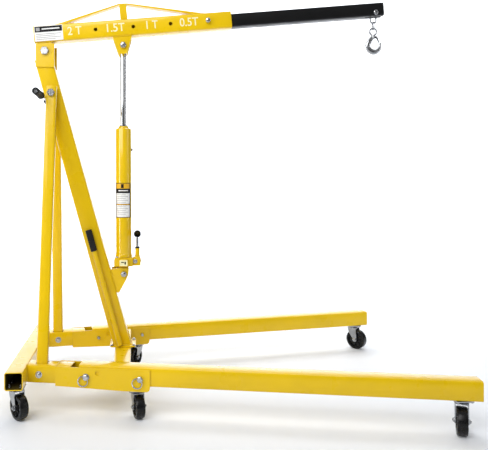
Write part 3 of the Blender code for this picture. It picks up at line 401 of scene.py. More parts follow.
def make(name, bm, material, matrix=Matrix.Identity(4), body=None, sharp=38, bevel=0.0):
    """A finished piece on a body; sharp is the edge angle in degrees above which it shades flat."""
    bmesh.ops.recalc_face_normals(bm, faces=bm.faces)
    mesh = bpy.data.meshes.new(name)
    bm.to_mesh(mesh)
    bm.free()
    mesh.shade_smooth()
    mesh.set_sharp_from_angle(angle=math.radians(sharp))
    item = bpy.data.objects.new(name, mesh)
    bpy.context.scene.collection.objects.link(item)
    item.matrix_world = matrix
    mesh.materials.append(material)
    if bevel:
        round_edges(item, bevel)
    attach(item, body)
    return item


def joint_axes(joint_name):
    """Frame of a hinge: z along its axis."""
    joint = JOINTS[joint_name]
    z = Vector(joint["axis"]).normalized()
    x = UP.cross(z).normalized() if abs(z.z) < 0.9 else Vector((1, 0, 0))
    return axes(joint["pos_m"], x, z.cross(x), z)


def along_y(origin, sign=1):
    """Frame whose z points along +Y or -Y."""
    return axes(origin, Vector((1, 0, 0)), Vector((0, 0, -sign)), Vector((0, sign, 0)))


# ---- wheels, forks and caster bolts -----------------------------------------------------------

CASTERS = [(row, side) for row in ("rear", "mid", "front") for side in ("left", "right")]


def caster_body(row, side):
    return "leg_" + side if row == "front" else "frame"


WHEEL_HALF = {"rear": 0.0160, "mid": 0.0160, "front": 0.0170}
WHEEL_RIBS = 8
RIB_HALF = 0.0013


def wheel_detail(row, side):
    """Moulded wheel: crowned tread, dished web with ribs, hub, and the bearing's washers."""
    name = "caster_%s_%s_wheel" % (row, side)
    body = "wheel_%s_%s" % (row, side)
    spin = joint_axes("wheel_spin_%s_%s" % (row, side))
    low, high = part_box(name)
    radius = (high.z - low.z) / 2
    half = WHEEL_HALF[row]
    web = half - 0.0075
    hub, rim = 0.0125, radius * 0.74
    outer = [(0.0046, half - 0.001), (0.0115, half - 0.001), (0.0128, half - 0.0035), (0.0135, web),
             (rim - 0.003, web), (rim - 0.001, half - 0.004), (rim, half - 0.0005),
             (radius - 0.0042, half), (radius - 0.0022, half - 0.0007),
             (radius - 0.0007, half - 0.0028), (radius, half - 0.0070), (radius, 0.0)]
    profile = outer + [(r, -h) for r, h in reversed(outer[:-1])]
    bm = bmesh.new()
    add_turned(bm, profile, 64)
    rib = [(hub, -RIB_HALF), (rim - 0.0015, -RIB_HALF), (rim - 0.0015, RIB_HALF), (hub, RIB_HALF)]
    for face in (1, -1):
        for k in range(WHEEL_RIBS):
            turn = Matrix.Rotation(2 * math.pi * k / WHEEL_RIBS, 4, "Z")
            ends = sorted((face * (half - 0.009), face * (half - 0.0032)))
            add_prism(bm, rib, ends[0], ends[1], turn)
    wheel = make(name + "_moulded", bm, WHEEL, spin, body, 32)
    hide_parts(name)
    bm = bmesh.new()
    for face in (1, -1):
        low_end, high_end = sorted((face * (half - 0.0012), face * (half + 0.0009)))
        add_turned(bm, [(0.0047, low_end), (0.0102, low_end), (0.0102, high_end), (0.0047, high_end)], 40)
    make(name + "_washers", bm, HUB, spin, body, 32)


def bolt_head(bm, matrix, across, height, washer=True):
    """Hexagon head with chamfered corners on a washer; z points away from the surface."""
    base = 0.0
    if washer:
        ring = ring_points(across * 0.72, 28)
        add_stack(bm, [(0.0, ring), (0.0009, ring), (0.0012, ring_points(across * 0.70, 28))], matrix)
        base = 0.0011
    hexagon = ring_points(across / 2, 6)
    add_stack(bm, [(base, hexagon), (base + height * 0.86, hexagon),
                   (base + height, ring_points(across * 0.43, 6))], matrix)


def four_corners(centre, dx, dy):
    return [(centre.x + sx * dx, centre.y + sy * dy) for sx in (-1, 1) for sy in (-1, 1)]


def caster_bolts(row, side):
    """Four bolt heads under the mounting plate."""
    name = "caster_%s_%s_plate" % (row, side)
    low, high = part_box(name)
    plate_low = high.z - 0.0040
    bm = bmesh.new()
    for x, y in four_corners((low + high) / 2, 0.0245, 0.0225):
        bolt_head(bm, axes((x, y, plate_low), (1, 0, 0), (0, -1, 0), (0, 0, -1)), 0.0078, 0.0026)
    make(name + "_bolts", bm, ZINC, body=caster_body(row, side), bevel=0.0002)


def fork_detail(row, side):
    """Swivel race above the fork, and the nuts on both ends of its axle."""
    name = "caster_%s_%s_fork" % (row, side)
    body = "fork_%s_%s" % (row, side)
    swivel = upright(JOINTS["caster_swivel_%s_%s" % (row, side)]["pos_m"])
    bm = bmesh.new()
    add_turned(bm, [(0.0190, -0.0150), (0.0232, -0.0150), (0.0238, -0.0140), (0.0232, -0.0128),
                    (0.0190, -0.0128)], 48)
    make(name + "_race", bm, ZINC, swivel, body, 32)
    spin = joint_axes("wheel_spin_%s_%s" % (row, side))
    side_play, cheek = 0.0015, 0.0028
    outside = Matrix.Translation((0, 0, WHEEL_HALF[row] + side_play + cheek))
    bm = bmesh.new()
    for flip in (0, math.pi):
        place = spin @ Matrix.Rotation(flip, 4, "X") @ outside
        bolt_head(bm, place, 0.0145, 0.0048)
        add_stud(bm, 0.0050, 0.0080, 0.0040, 20, place)
    make(name + "_axle_nuts", bm, ZINC, body=body, bevel=0.0003)


for caster_row, caster_side in CASTERS:
    wheel_detail(caster_row, caster_side)
    caster_bolts(caster_row, caster_side)
    fork_detail(caster_row, caster_side)


# ---- ram, rod and pump ------------------------------------------------------------------------

RAM_STATION = 0.3141
RAM_FOOT = Vector(JOINTS["ram_tilt"]["pos_m"])
RAM_TOP = Vector(JOINTS["boom_lift"]["pos_m"]) + BOOM_U * RAM_STATION
LEVER_PIVOT = Vector(JOINTS["lever_pump"]["pos_m"])
BARREL_RADIUS = 0.0325


def barrel_detail():
    """Barrel with its weld collar and rolled top, the rod's wiper seal and the filler screw."""
    low, high, r = 0.0660, 0.5920, BARREL_RADIUS
    bore, rod_bore = 0.0205, 0.0137
    profile = [(bore, low), (r + 0.0015, low), (r + 0.0015, low + 0.010), (r + 0.0008, low + 0.0115),
               (r, low + 0.0125), (r, high - 0.0060), (r - 0.0008, high - 0.0030),
               (r - 0.0030, high - 0.0010), (r - 0.0060, high), (0.0212, high),
               (0.0208, high + 0.0060), (0.0195, high + 0.0080), (rod_bore, high + 0.0080),
               (rod_bore, high - 0.022), (bore, high - 0.022)]
    bm = bmesh.new()
    add_turned(bm, profile, 72)
    barrel = make("ram_barrel_tube", bm, RAM_YELLOW, RAM, "ram", 32)
    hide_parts("ram_barrel")
    bm = bmesh.new()
    add_turned(bm, [(0.0136, high + 0.0076), (0.0176, high + 0.0076), (0.0172, high + 0.0100),
                    (0.0150, high + 0.0112), (0.0136, high + 0.0108)], 48)
    make("ram_wiper_seal", bm, RUBBER, RAM, "ram", 32)
    bm = bmesh.new()
    place = RAM @ axes((r - 0.0010, 0, 0.5045), (0, 1, 0), (0, 0, 1), (1, 0, 0))
    add_stud(bm, 0.0, 0.0034, 0.0058, 28, place, 0.0010, 0.0004)
    bolt_head(bm, place @ Matrix.Translation((0, 0, 0.0032)), 0.0078, 0.0034, washer=False)
    make("ram_filler_screw", bm, DARK_AND_SHADE, body="ram", bevel=0.0003)


def rod_detail():
    """Chromed rod with its piston and, at the top, the eye for the boom's bolt."""
    length = (RAM_TOP - RAM_FOOT).length
    rod_radius = 0.0133
    piston, rod, neck = (ring_points(r, 48) for r in (0.0197, rod_radius, rod_radius * 0.93))
    bm = bmesh.new()
    add_stack(bm, [(length - 0.5200, piston), (length - 0.4900, piston), (length - 0.4900, rod),
                   (length - 0.0240, rod), (length - 0.0180, neck), (length - 0.0120, neck)])
    eye = RAM.inverted() @ along_y(RAM @ Vector((0, 0, length)))
    add_turned(bm, [(0.0106, -0.0125), (0.0178, -0.0125), (0.0190, -0.0113), (0.0190, 0.0113),
                    (0.0178, 0.0125), (0.0106, 0.0125)], 56, eye)
    chrome_rod = make("ram_rod_chromed", bm, CHROME, RAM, "ram_rod", 32)
    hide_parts("ram_rod")


def pump_detail():
    """Plugs in the base block, the pump cylinder's seal cap and the lever's two pins."""
    bm = bmesh.new()
    bolt_head(bm, RAM @ axes((0.047, -0.0152, 0.048), (1, 0, 0), (0, 0, 1), (0, -1, 0)), 0.0120, 0.0040)
    bolt_head(bm, RAM @ axes((0.0693, 0.012, 0.048), (0, 1, 0), (0, 0, 1), (1, 0, 0)), 0.0110, 0.0036)
    bolt_head(bm, RAM @ upright((-0.0262, -0.0240, 0.0657)), 0.0100, 0.0034)
    make("ram_base_plugs", bm, BRIGHT, body="ram", bevel=0.0003)
    bm = bmesh.new()
    add_turned(bm, [(0.0060, 0.1000), (0.0092, 0.1000), (0.0098, 0.1016), (0.0098, 0.1048),
                    (0.0090, 0.1062), (0.0060, 0.1062)], 40, upright((0.056, 0, 0)))
    make("pump_seal_cap", bm, DARK_AND_SHADE, RAM, "ram", 32)
    pins = ((0.0, 0.0035), (-0.030, 0.0032))
    bm = bmesh.new()
    for sign in (1, -1):
        for y, pin_radius in pins:
            face = LEVER_PIVOT + Vector((sign * 0.0060, y, 0))
            head = ring_points(pin_radius * 1.7, 28)
            add_stack(bm, [(0.0, head), (0.0016, head), (0.0024, ring_points(pin_radius * 1.2, 28))],
                      axes(face, (0, 1, 0), (0, 0, sign), (sign, 0, 0)))
    make("pump_lever_pins", bm, ZINC, body="lever")
    for y, _ in pins:
        bm = bmesh.new()
        place = axes(LEVER_PIVOT + Vector((0, y, 0)), (0, 1, 0), (0, 0, 1), (1, 0, 0))
        add_prism(bm, ring_points(0.0030, 24), -0.0062, 0.0062, place)
        make("pump_lever_pin_core_%d" % round(-y * 1000), bm, ZINC, body="lever")


def pin_heads():
    """Plated heads and nuts over the ends of the ram's two bolts."""
    for name, centre, body, across, face, depth in (
            ("ram_upper_bolt", RAM_TOP, "boom", 0.0264, 0.0334, 0.0118),
            ("ram_lower_bolt", RAM_FOOT, "frame", 0.0246, 0.0332, 0.0116)):
        places = [along_y((centre.x, sign * face, centre.z), sign) for sign in (1, -1)]
        bm = bmesh.new()
        for place in places:
            bolt_head(bm, place, across, depth, washer=False)
        make(name + "_heads", bm, BRIGHT, body=body, bevel=0.0004)
        bm = bmesh.new()
        thread, tip = ring_points(across * 0.30, 24), ring_points(across * 0.25, 24)
        for place in places:
            add_stack(bm, [(depth - 0.001, thread), (depth + 0.0022, thread), (depth + 0.0030, tip)], place)
        make(name + "_ends", bm, BRIGHT, body=body)


def socket_detail():
    """Painted shade: a dark sleeve lining the bore of the lever's socket, where shade falls; and the black mouth
    ring.
    """
    place = along_y(LEVER_PIVOT, -1)
    mouth = 0.0862
    bm = bmesh.new()
    # Painted shade: a thin dark sleeve inside the bore.
    add_turned(bm, [(0.0106, 0.0490), (0.0109, 0.0490), (0.0109, mouth), (0.0106, mouth)], 40, place)
    add_turned(bm, [(0.0108, 0.0800), (0.0139, 0.0800), (0.0144, 0.0808), (0.0144, mouth),
                    (0.0138, mouth + 0.0008), (0.0108, mouth + 0.0008)], 40, place)
    make("lever_socket_mouth", bm, DARK_AND_SHADE, body="lever", sharp=30)


def rounded_square(half, corner):
    """Outline of a square tube."""
    points = []
    for quarter, (sx, sy) in enumerate(((1, 1), (-1, 1), (-1, -1), (1, -1))):
        for k in range(5):
            angle = math.radians(90 * quarter + 22.5 * k)
            points.append((sx * (half - corner) + corner * math.cos(angle),
                           sy * (half - corner) + corner * math.sin(angle)))
    return points


def crossmember_shade_liner():
    """Painted shade: a dark liner on the inside of the rear crossmember's open ends, standing in for the shade
    that falls there.
    """
    low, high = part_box("rear_crossmember")
    centre = (low + high) / 2
    wall = 0.0035
    half = (high.z - low.z) / 2 - wall
    for side, sign in SIDE_SIGN.items():
        bm = bmesh.new()
        place = along_y((centre.x, 0, centre.z), sign)
        outer, inner = rounded_square(half - 0.0002, 0.0042), rounded_square(half - 0.0005, 0.0040)
        near, far = high.y - 0.0015, high.y - 0.2600
        rings = [[bm.verts.new(place @ Vector((x, y, z))) for x, y in points]
                 for points, z in ((outer, far), (outer, near), (inner, near), (inner, far))]
        for a, b in zip(rings, rings[1:] + rings[:1]):
            bridge(bm, a, b)
        make("crossmember_shade_liner_" + side, bm, TUBE_SHADE, body="frame", sharp=30)


def crossmember_nuts():
    """Caster bolt ends and nuts inside the rear crossmember's open ends."""
    for side in SIDE_SIGN:
        low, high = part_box("caster_rear_%s_plate" % side)
        bm = bmesh.new()
        for x, y in four_corners((low + high) / 2, 0.0200, 0.0225):
            place = upright((x, y, high.z + 0.0040))
            bolt_head(bm, place, 0.0110, 0.0046)
            add_stud(bm, 0.0050, 0.0111, 0.0030, 18, place, 0.0005)
        make("crossmember_nuts_" + side, bm, ZINC, body="frame", bevel=0.0003)


barrel_detail()
rod_detail()
pump_detail()
pin_heads()
socket_detail()
crossmember_shade_liner()
crossmember_nuts()


# ---- hook, shackle and latch ------------------------------------------------------------------

def arc_points(centre, radius, start, end, steps):
    """Points of an arc in the XZ plane, angles in degrees."""
    points = []
    for k in range(steps + 1):
        angle = math.radians(start + (end - start) * k / steps)
        points.append(centre + Vector((radius * math.cos(angle), 0, radius * math.sin(angle))))
    return points


def smooth_path(points, radii, times):
    """Catmull-Rom through the points, with the radii eased along with them."""
    out, sizes = [], []
    last = len(points) - 1
    for k in range(last):
        p0, p1, p2, p3 = points[max(0, k - 1)], points[k], points[k + 1], points[min(last, k + 2)]
        for step in range(times):
            t = step / times
            out.append(0.5 * (2 * p1 + (p2 - p0) * t + (2 * p0 - 5 * p1 + 4 * p2 - p3) * t * t
                              + (3 * p1 - p0 - 3 * p2 + p3) * t ** 3))
            sizes.append(radii[k] + (radii[k + 1] - radii[k]) * t)
    return out + [points[-1]], sizes + [radii[-1]]


HOOK_SWING = Vector(JOINTS["hook_swing"]["pos_m"])
LATCH_PIVOT = Vector(JOINTS["latch_open"]["pos_m"])
LINK_WIRE = 0.0028
LINK_GAP = 0.0004


def shackle_detail():
    """Rounder shackle on the hook bolt, and the cross link that hangs in it."""
    bolt = Vector(JOINTS["shackle_swing"]["pos_m"])
    bolt_radius, wire, half, drop = 0.0062, 0.0035, 0.0115, 0.0263
    crown = bolt + Vector((0, 0, bolt_radius + wire + LINK_GAP - half))
    path = arc_points(crown, half, 0, 180, 20)
    path += arc_points(crown - Vector((0, 0, drop)), half, 180, 360, 20)
    bm = bmesh.new()
    add_swept(bm, path, [wire] * len(path), 16, closed=True)
    link_radius, straight = 0.0085, 0.0155
    low = HOOK_SWING + Vector((0, 0, link_radius))
    link = arc_points(low + Vector((0, 0, straight)), link_radius, 0, 180, 18)
    link += arc_points(low, link_radius, 180, 360, 18)
    link = [Vector((HOOK_SWING.x, p.x - HOOK_SWING.x, p.z)) for p in link]
    add_swept(bm, link, [LINK_WIRE] * len(link), 14, closed=True, wide=Vector((1, 0, 0)))
    shackle = make("shackle_link", bm, FORGED, body="shackle", sharp=60)
    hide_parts("shackle")


def hook_detail():
    """Hook forging: shank and bowl swept in one, eye, collar and the ears for the latch."""
    eye_r, eye_wire = 0.0148, 0.0036
    eye_z = LINK_WIRE + LINK_GAP + eye_wire - eye_r
    neck_z = eye_z - eye_r - 0.004
    shank = [((0.0, 0.003), 0.0056), ((0.0, 0.0), 0.0060), ((-0.0040, -0.006), 0.0082),
             ((-0.0105, -0.014), 0.0098), ((-0.0178, -0.025), 0.0106)]
    points = [Vector((x, 0, neck_z + z)) for (x, z), _ in shank]
    radii = [radius for _, radius in shank]
    steps = 11
    bowl = arc_points(Vector((0.0034, 0, eye_z - 0.0585)), 0.0257, 172, 368, steps)
    for k, point in enumerate(bowl):
        share = k / steps
        points.append(point)
        radii.append(0.0108 + 0.0026 * share if share < 0.5 else 0.0121 - 0.0064 * (share - 0.5) / 0.5)
    for (dx, dz), radius in (((0.0016, 0.0046), 0.0043), ((0.0030, 0.0090), 0.0030),
                             ((0.0034, 0.0106), 0.0018)):
        points.append(bowl[-1] + Vector((dx, 0, dz)))
        radii.append(radius)
    path, sizes = smooth_path([HOOK_SWING + p for p in points], radii, 4)
    bm = bmesh.new()
    add_swept(bm, path, sizes, 20, squash=0.68)
    eye_centre = HOOK_SWING + Vector((0, 0, eye_z))
    eye = [eye_centre + Vector((x, 0, z)) for x, z in ring_points(eye_r, 44)]
    add_swept(bm, eye, [eye_wire] * len(eye), 16, closed=True)
    collar = [(-0.005, 0.0070), (-0.001, 0.0074), (0.004, 0.0060), (0.007, 0.0054)]
    add_stack(bm, [(z, ring_points(radius, 32)) for z, radius in collar],
              upright(HOOK_SWING + Vector((0, 0, neck_z))))
    ear = [(-0.0130, 0.0065), (-0.0040, 0.0040), (0.0010, 0.0040), (0.0038, 0.0014), (0.0038, -0.0014),
           (0.0010, -0.0040), (-0.0040, -0.0052), (-0.0165, -0.0085)]
    add_prism(bm, ear, -0.0017, 0.0017, axes(LATCH_PIVOT, (1, 0, 0), (0, 0, 1), (0, -1, 0)))
    forged = make("hook_forging", bm, FORGED, body="hook", sharp=60)
    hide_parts("hook")


def latch_detail():
    """Ends of the rivet that the latch turns on."""
    bm = bmesh.new()
    for sign in (1, -1):
        place = along_y(LATCH_PIVOT + Vector((0, sign * 0.0034, 0)), sign)
        add_stud(bm, 0.0, 0.0013, 0.0024, 24, place, 0.0008, 0.0005)
    make("latch_rivet", bm, ZINC, body="latch")


shackle_detail()
hook_detail()
latch_detail()


# ---- grips and the stored pump handle -----------------------------------------------------------

def push_grips():
    """Ribbed grips with a flange at the inner end."""
    bore, r = 0.0066, 0.0135
    ribs, flange, cap = 13, 0.0052, 0.0068
    for side, sign in SIDE_SIGN.items():
        low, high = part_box("push_grip_" + side)
        centre = (low + high) / 2
        start, length = (low.y if sign > 0 else high.y), high.y - low.y
        profile = [(bore, 0.0), (0.0149, 0.0), (0.0151, 0.0012), (0.0151, 0.0030), (0.0146, 0.0044)]
        step = (length - flange - cap) / ribs
        for k in range(ribs):
            foot = flange + k * step
            profile += [(r * 0.915, foot), (r * 0.995, foot + step * 0.28),
                        (r * 0.995, foot + step * 0.62), (r * 0.915, foot + step * 0.90)]
        profile += [(r * 0.99, length - 0.0058), (r, length - 0.0030), (r * 0.90, length - 0.0006),
                    (r * 0.80, length), (bore, length)]
        bm = bmesh.new()
        add_turned(bm, profile, 48, along_y((centre.x, start, centre.z), sign))
        grip = make("push_grip_%s_ribbed" % side, bm, RUBBER, body="frame", sharp=30)
        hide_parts("push_grip_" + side)


def pump_handle_detail():
    """The stored pump handle: steel tube with a ribbed grip over its upper end."""
    low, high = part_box("pump_handle")
    r, end = 0.0105, 0.4790
    foot = Vector((high.x - r * abs(MAST_W.z), (low.y + high.y) / 2, low.z + r * abs(MAST_W.x)))
    place = axes(foot, ACROSS.cross(MAST_W), ACROSS, MAST_W)
    bm = bmesh.new()
    add_turned(bm, [(r - 0.0022, 0.0), (r - 0.0006, 0.0), (r, 0.0006), (r, end), (r - 0.0022, end)], 40)
    tube = make("pump_handle_tube", bm, YELLOW, place, "pump_handle", 32)
    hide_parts("pump_handle")
    profile = [(r + 0.0001, 0.394), (r + 0.0026, 0.394), (r + 0.0029, 0.3955)]
    for k in range(10):
        rib = 0.398 + k * 0.0078
        profile += [(r + 0.0018, rib), (r + 0.0028, rib + 0.0022), (r + 0.0028, rib + 0.0050),
                    (r + 0.0018, rib + 0.0070)]
    profile += [(r + 0.0026, end - 0.0005), (r + 0.0016, end + 0.0022), (0.0040, end + 0.0029),
                (0.0040, end + 0.0006), (r + 0.0001, end + 0.0004)]
    bm = bmesh.new()
    add_turned(bm, profile, 40)
    grip = make("pump_handle_grip_ribbed", bm, RUBBER, place, "pump_handle", 30)
    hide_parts("pump_handle_grip")


push_grips()
pump_handle_detail()


# ---- weld beads ---------------------------------------------------------------------------------

def bead(name, points, radius, body, wide=Vector((0.31, 0.87, 0.22))):
    """A weld bead of overlapping ripples along a polyline; wide must not run along it."""
    path, sizes = [], []
    for a, b in zip(points, points[1:]):
        a, b = Vector(a), Vector(b)
        count = max(3, int((b - a).length / 0.0022))
        for k in range(count):
            path.append(a.lerp(b, k / count))
    path.append(Vector(points[-1]))
    for k in range(len(path)):
        ripple = 0.80 + 0.20 * abs(math.sin(k * 1.35))
        end = min(k, len(path) - 1 - k)
        sizes.append(radius * ripple * (0.55 if end == 0 else 0.85 if end == 1 else 1.0))
    bm = bmesh.new()
    add_swept(bm, path, sizes, 10, wide=wide)
    return make(name, bm, WELD, body=body, sharp=60)


def at(matrix, *point):
    return matrix @ Vector(point)


FLANGE_TOP = TOP + 0.0062
CROSSMEMBER_FRONT = -0.7448
TRUSS_SEAT = 0.1060


def mast_foot_weld():
    """A bead all round the mast's foot, on its flange."""
    x, hx, hy = -0.402, 0.0375, 0.0358
    corners = [(x - hx, -hy), (x + hx, -hy), (x + hx, hy), (x - hx, hy), (x - hx, -hy)]
    bead("weld_mast_foot", [(a, b, FLANGE_TOP) for a, b in corners], 0.0030, "frame")


def boom_bead(name, start, end, y, v, radius):
    """A bead along the boom, from one station to another."""
    bead(name, [at(BOOM, start, y, v), at(BOOM, end, y, v)], radius, "boom")


def side_welds(side, sign):
    low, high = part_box("ram_bracket")
    y = sign * 0.0332
    back = [(low.x + 0.026, y, low.z + 0.002), (low.x + 0.001, y, high.z - 0.008)]
    bead("weld_ram_bracket_" + side, back, 0.0026, "frame")
    boom_bead("weld_boom_bracket_" + side, 0.277, 0.351, sign * 0.0334, 0.0370, 0.0024)
    boom_bead("weld_boom_lug_" + side, -0.029, 0.029, sign * 0.0302, 0.0370, 0.0022)
    y = sign * 0.0154
    boom_bead("weld_truss_post_" + side, 0.3130, 0.3410, y, TRUSS_SEAT, 0.0018)
    boom_bead("weld_truss_rear_" + side, 0.0465, 0.0620, y, TRUSS_SEAT, 0.0016)
    boom_bead("weld_truss_front_" + side, 0.6390, 0.6545, y, TRUSS_SEAT, 0.0016)
    low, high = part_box("mast_head_plate_" + side)
    y, z = sign * 0.0358, low.z - 0.0006
    bead("weld_head_rear_" + side, [(low.x + 0.0035, y, z), (high.x - 0.0035, y, z)], 0.0018, "frame")
    channel = side_frame(side)
    across = [at(channel, -0.113, s * 0.0325, 0.0334) for s in (-1, 1)]
    bead("weld_rail_end_" + side, across, 0.0018, "frame", Vector((0, 0, 1)))
    x, rail_y, half = CROSSMEMBER_FRONT, sign * 0.212, sign * 0.0325
    seam = [(x, rail_y - half, TOP + 0.0002), (x, rail_y + half, TOP + 0.0002)]
    bead("weld_rail_start_" + side, seam, 0.0024, "frame")
    seam = [(x, sign * 0.2455, TOP - 0.004), (x, sign * 0.2455, TOP - 0.060)]
    bead("weld_rail_start_face_" + side, seam, 0.0022, "frame")


mast_foot_weld()
for weld_side, weld_sign in SIDE_SIGN.items():
    side_welds(weld_side, weld_sign)


# ---- bolts on the frame -------------------------------------------------------------------------

def frame_bolts():
    """Bolts of the mast's foot flange, of the brace feet, and the washers of the leg pivot pins."""
    bm = bmesh.new()
    for x, y in four_corners(Vector((-0.400, 0, 0)), 0.0440, 0.0425):
        bolt_head(bm, upright((x, y, FLANGE_TOP)), 0.0105, 0.0045)
    make("mast_flange_bolts", bm, BRIGHT, body="frame", bevel=0.0003)
    for side, sign in SIDE_SIGN.items():
        rail = side_frame(side)
        foot = at(rail.inverted(), -0.6960, sign * 0.2208, TOP - 0.033)
        bm = bmesh.new()
        for face in (1, -1):
            place = rail @ axes((foot.x, face * 0.0326, 0.0), (1, 0, 0), (0, 0, -face), (0, face, 0))
            bolt_head(bm, place, 0.0180, 0.0070)
            add_stud(bm, 0.0075, 0.0112, 0.0050, 20, place, 0.0008, 0.0007)
        make("brace_foot_bolts_" + side, bm, BRIGHT, body="frame", bevel=0.0004)
        bm = bmesh.new()
        place = rail @ axes((0.0, sign * 0.0428, 0.0), (1, 0, 0), (0, 0, -sign), (0, sign, 0))
        add_turned(bm, [(0.0072, -0.0052), (0.0125, -0.0052), (0.0125, -0.0040), (0.0072, -0.0040)],
                   36, place)
        make("leg_pivot_washer_" + side, bm, BRIGHT, body="frame", sharp=30)


frame_bolts()


def through_bolt_washers():
    """Washers under the heads and nuts of the long cross bolts."""
    thickness = 0.0007
    for name, body, face in (("boom_pivot_bolt", "frame", 0.0414), ("brace_bolt", "frame", 0.0640),
                             ("hook_bolt", "extension", 0.0271)):
        low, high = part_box(name)
        centre = (low + high) / 2
        head = (high.z - low.z) / 2
        shank, outer = head * 0.62, head * 1.03
        bm = bmesh.new()
        for sign in (1, -1):
            add_turned(bm, [(shank, 0.0), (outer, 0.0), (outer, thickness), (shank, thickness)], 40,
                       along_y((centre.x, sign * face, centre.z), sign))
        make(name + "_washers", bm, BRIGHT, body=body, sharp=30)


through_bolt_washers()


# ---- printed marks, and painted highlight and shade on the valve knob ---------------------------

FILM = 0.00012


def patch(name, u0, u1, v0, v1, material, depth, plane, body):
    """A thin film with rounded corners in a plane given as a frame: x along, y up, z out."""
    bm = bmesh.new()
    corner = min(0.0015, (u1 - u0) / 4, (v1 - v0) / 4)
    outline = []
    for cx, cy, start in ((u1 - corner, v1 - corner, 0), (u0 + corner, v1 - corner, 90),
                          (u0 + corner, v0 + corner, 180), (u1 - corner, v0 + corner, 270)):
        for k in range(4):
            angle = math.radians(start + 30 * k)
            outline.append((cx + corner * math.cos(angle), cy + corner * math.sin(angle)))
    add_prism(bm, outline, depth, depth + FILM, plane)
    return make(name, bm, material, body=body, sharp=30)


BOOM_SIDE = BOOM @ axes((0, -0.0340, 0), (1, 0, 0), (0, 0, 1), (0, -1, 0))


def mark(name, text, u_centre, width):
    """Painted capacity figures on the boom's near side."""
    height, v_centre = 0.034, 0.0715
    curve = bpy.data.curves.new(name, "FONT")
    curve.body = text
    curve.size = height * 1.38
    curve.align_x = "CENTER"
    curve.align_y = "CENTER"
    curve.extrude = 0.00008
    curve.offset = 0.0004
    curve.materials.append(MARK_PRINT_AND_HIGHLIGHT)
    item = bpy.data.objects.new(name, curve)
    bpy.context.scene.collection.objects.link(item)
    bpy.context.view_layer.update()
    stretch = Matrix.Diagonal((width / item.dimensions.x, 1, 1, 1))
    item.matrix_world = BOOM_SIDE @ Matrix.Translation((u_centre, v_centre, 0.0002)) @ stretch
    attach(item, "boom")


def boom_patch(name, u0, u1, v0, v1, material, depth):
    patch("boom_label_" + name, u0, u1, v0, v1, material, depth, BOOM_SIDE, "boom")


def boom_print():
    """Capacity figures between the holes, and a label of plain blocks and lines at the rear."""
    mark("capacity_2t", "2 T", 0.1250, 0.056)
    mark("capacity_1_5t", "1.5T", 0.2870, 0.072)
    mark("capacity_1t", "1 T", 0.4350, 0.046)
    mark("capacity_0_5t", "0.5T", 0.5890, 0.076)
    u0, u1, v0, v1 = -0.0350, 0.0780, 0.0410, 0.1020
    boom_patch("base", u0, u1, v0, v1, WHITE_PRINT, 0.0001)
    boom_patch("band", u0 + 0.002, u1 - 0.002, v1 - 0.0250, v1 - 0.002, BLACK_PRINT_AND_SHADE, 0.00025)
    boom_patch("bar", u0 + 0.030, u1 - 0.012, v1 - 0.0150, v1 - 0.0105, WHITE_PRINT, 0.0004)
    boom_patch("disc", u0 + 0.007, u0 + 0.022, v1 - 0.0200, v1 - 0.0065, GREY_PRINT, 0.0004)
    for k in range(4):
        v = v1 - 0.0330 - k * 0.0068
        margin = 0.008 if k % 2 == 0 else 0.030
        boom_patch("line_%d" % k, u0 + 0.006, u1 - margin, v - 0.0011, v + 0.0011, GREY_PRINT, 0.00025)


boom_print()


def wrapped(name, radius, centre, half, low, high, material):
    """A film round the barrel; centre and half are angles in degrees."""
    bm = bmesh.new()
    steps = 20
    rows = []
    for z in (low, high):
        rows.append([])
        for r in (radius, radius + 0.00015):
            for k in range(steps + 1):
                angle = math.radians(centre - half + 2 * half * k / steps)
                rows[-1].append(bm.verts.new((r * math.cos(angle), r * math.sin(angle), z)))
    n = steps + 1
    loops = [row[:n] + list(reversed(row[n:])) for row in rows]
    bridge(bm, loops[0], loops[1])
    for row in rows:
        for k in range(steps):
            bm.faces.new((row[k], row[k + 1], row[n + k + 1], row[n + k]))
    make("barrel_label_" + name, bm, material, RAM, "ram", 30)


def barrel_print():
    """Bordered label: header with an icon, white bar, and two panels of plain lines."""
    paper = BARREL_RADIUS + 0.00005
    colour, ink = paper + 0.0002, paper + 0.0004
    low, high = 0.2280, 0.3690
    turn, half = -96, 66
    inner = half - 12
    wrapped("border", paper, turn, half, low, high, BLACK_PRINT_AND_SHADE)
    wrapped("header", colour, turn, inner, high - 0.0230, high - 0.0026, AMBER_PRINT)
    wrapped("icon", ink, turn - 2, 10, high - 0.0210, high - 0.0045, BLACK_PRINT_AND_SHADE)
    wrapped("bar", colour, turn + 4, half * 0.55, high - 0.0335, high - 0.0295, WHITE_PRINT)
    for panel, top, bottom in (("upper", high - 0.0420, high - 0.0850),
                               ("lower", high - 0.0905, low + 0.0026)):
        wrapped("panel_" + panel, colour, turn, inner, bottom, top, WHITE_PRINT)
        for k in range(5):
            z = top - 0.0060 - k * 0.0076
            centre, reach = (turn - 3, half - 22) if k % 2 else (turn - 12, half - 32)
            wrapped("line_%s_%d" % (panel, k), ink, centre, reach, z - 0.0008, z + 0.0008, GREY_PRINT)
    wrapped("rule", colour, turn, inner, high - 0.0892, high - 0.0864, AMBER_PRINT)


barrel_print()


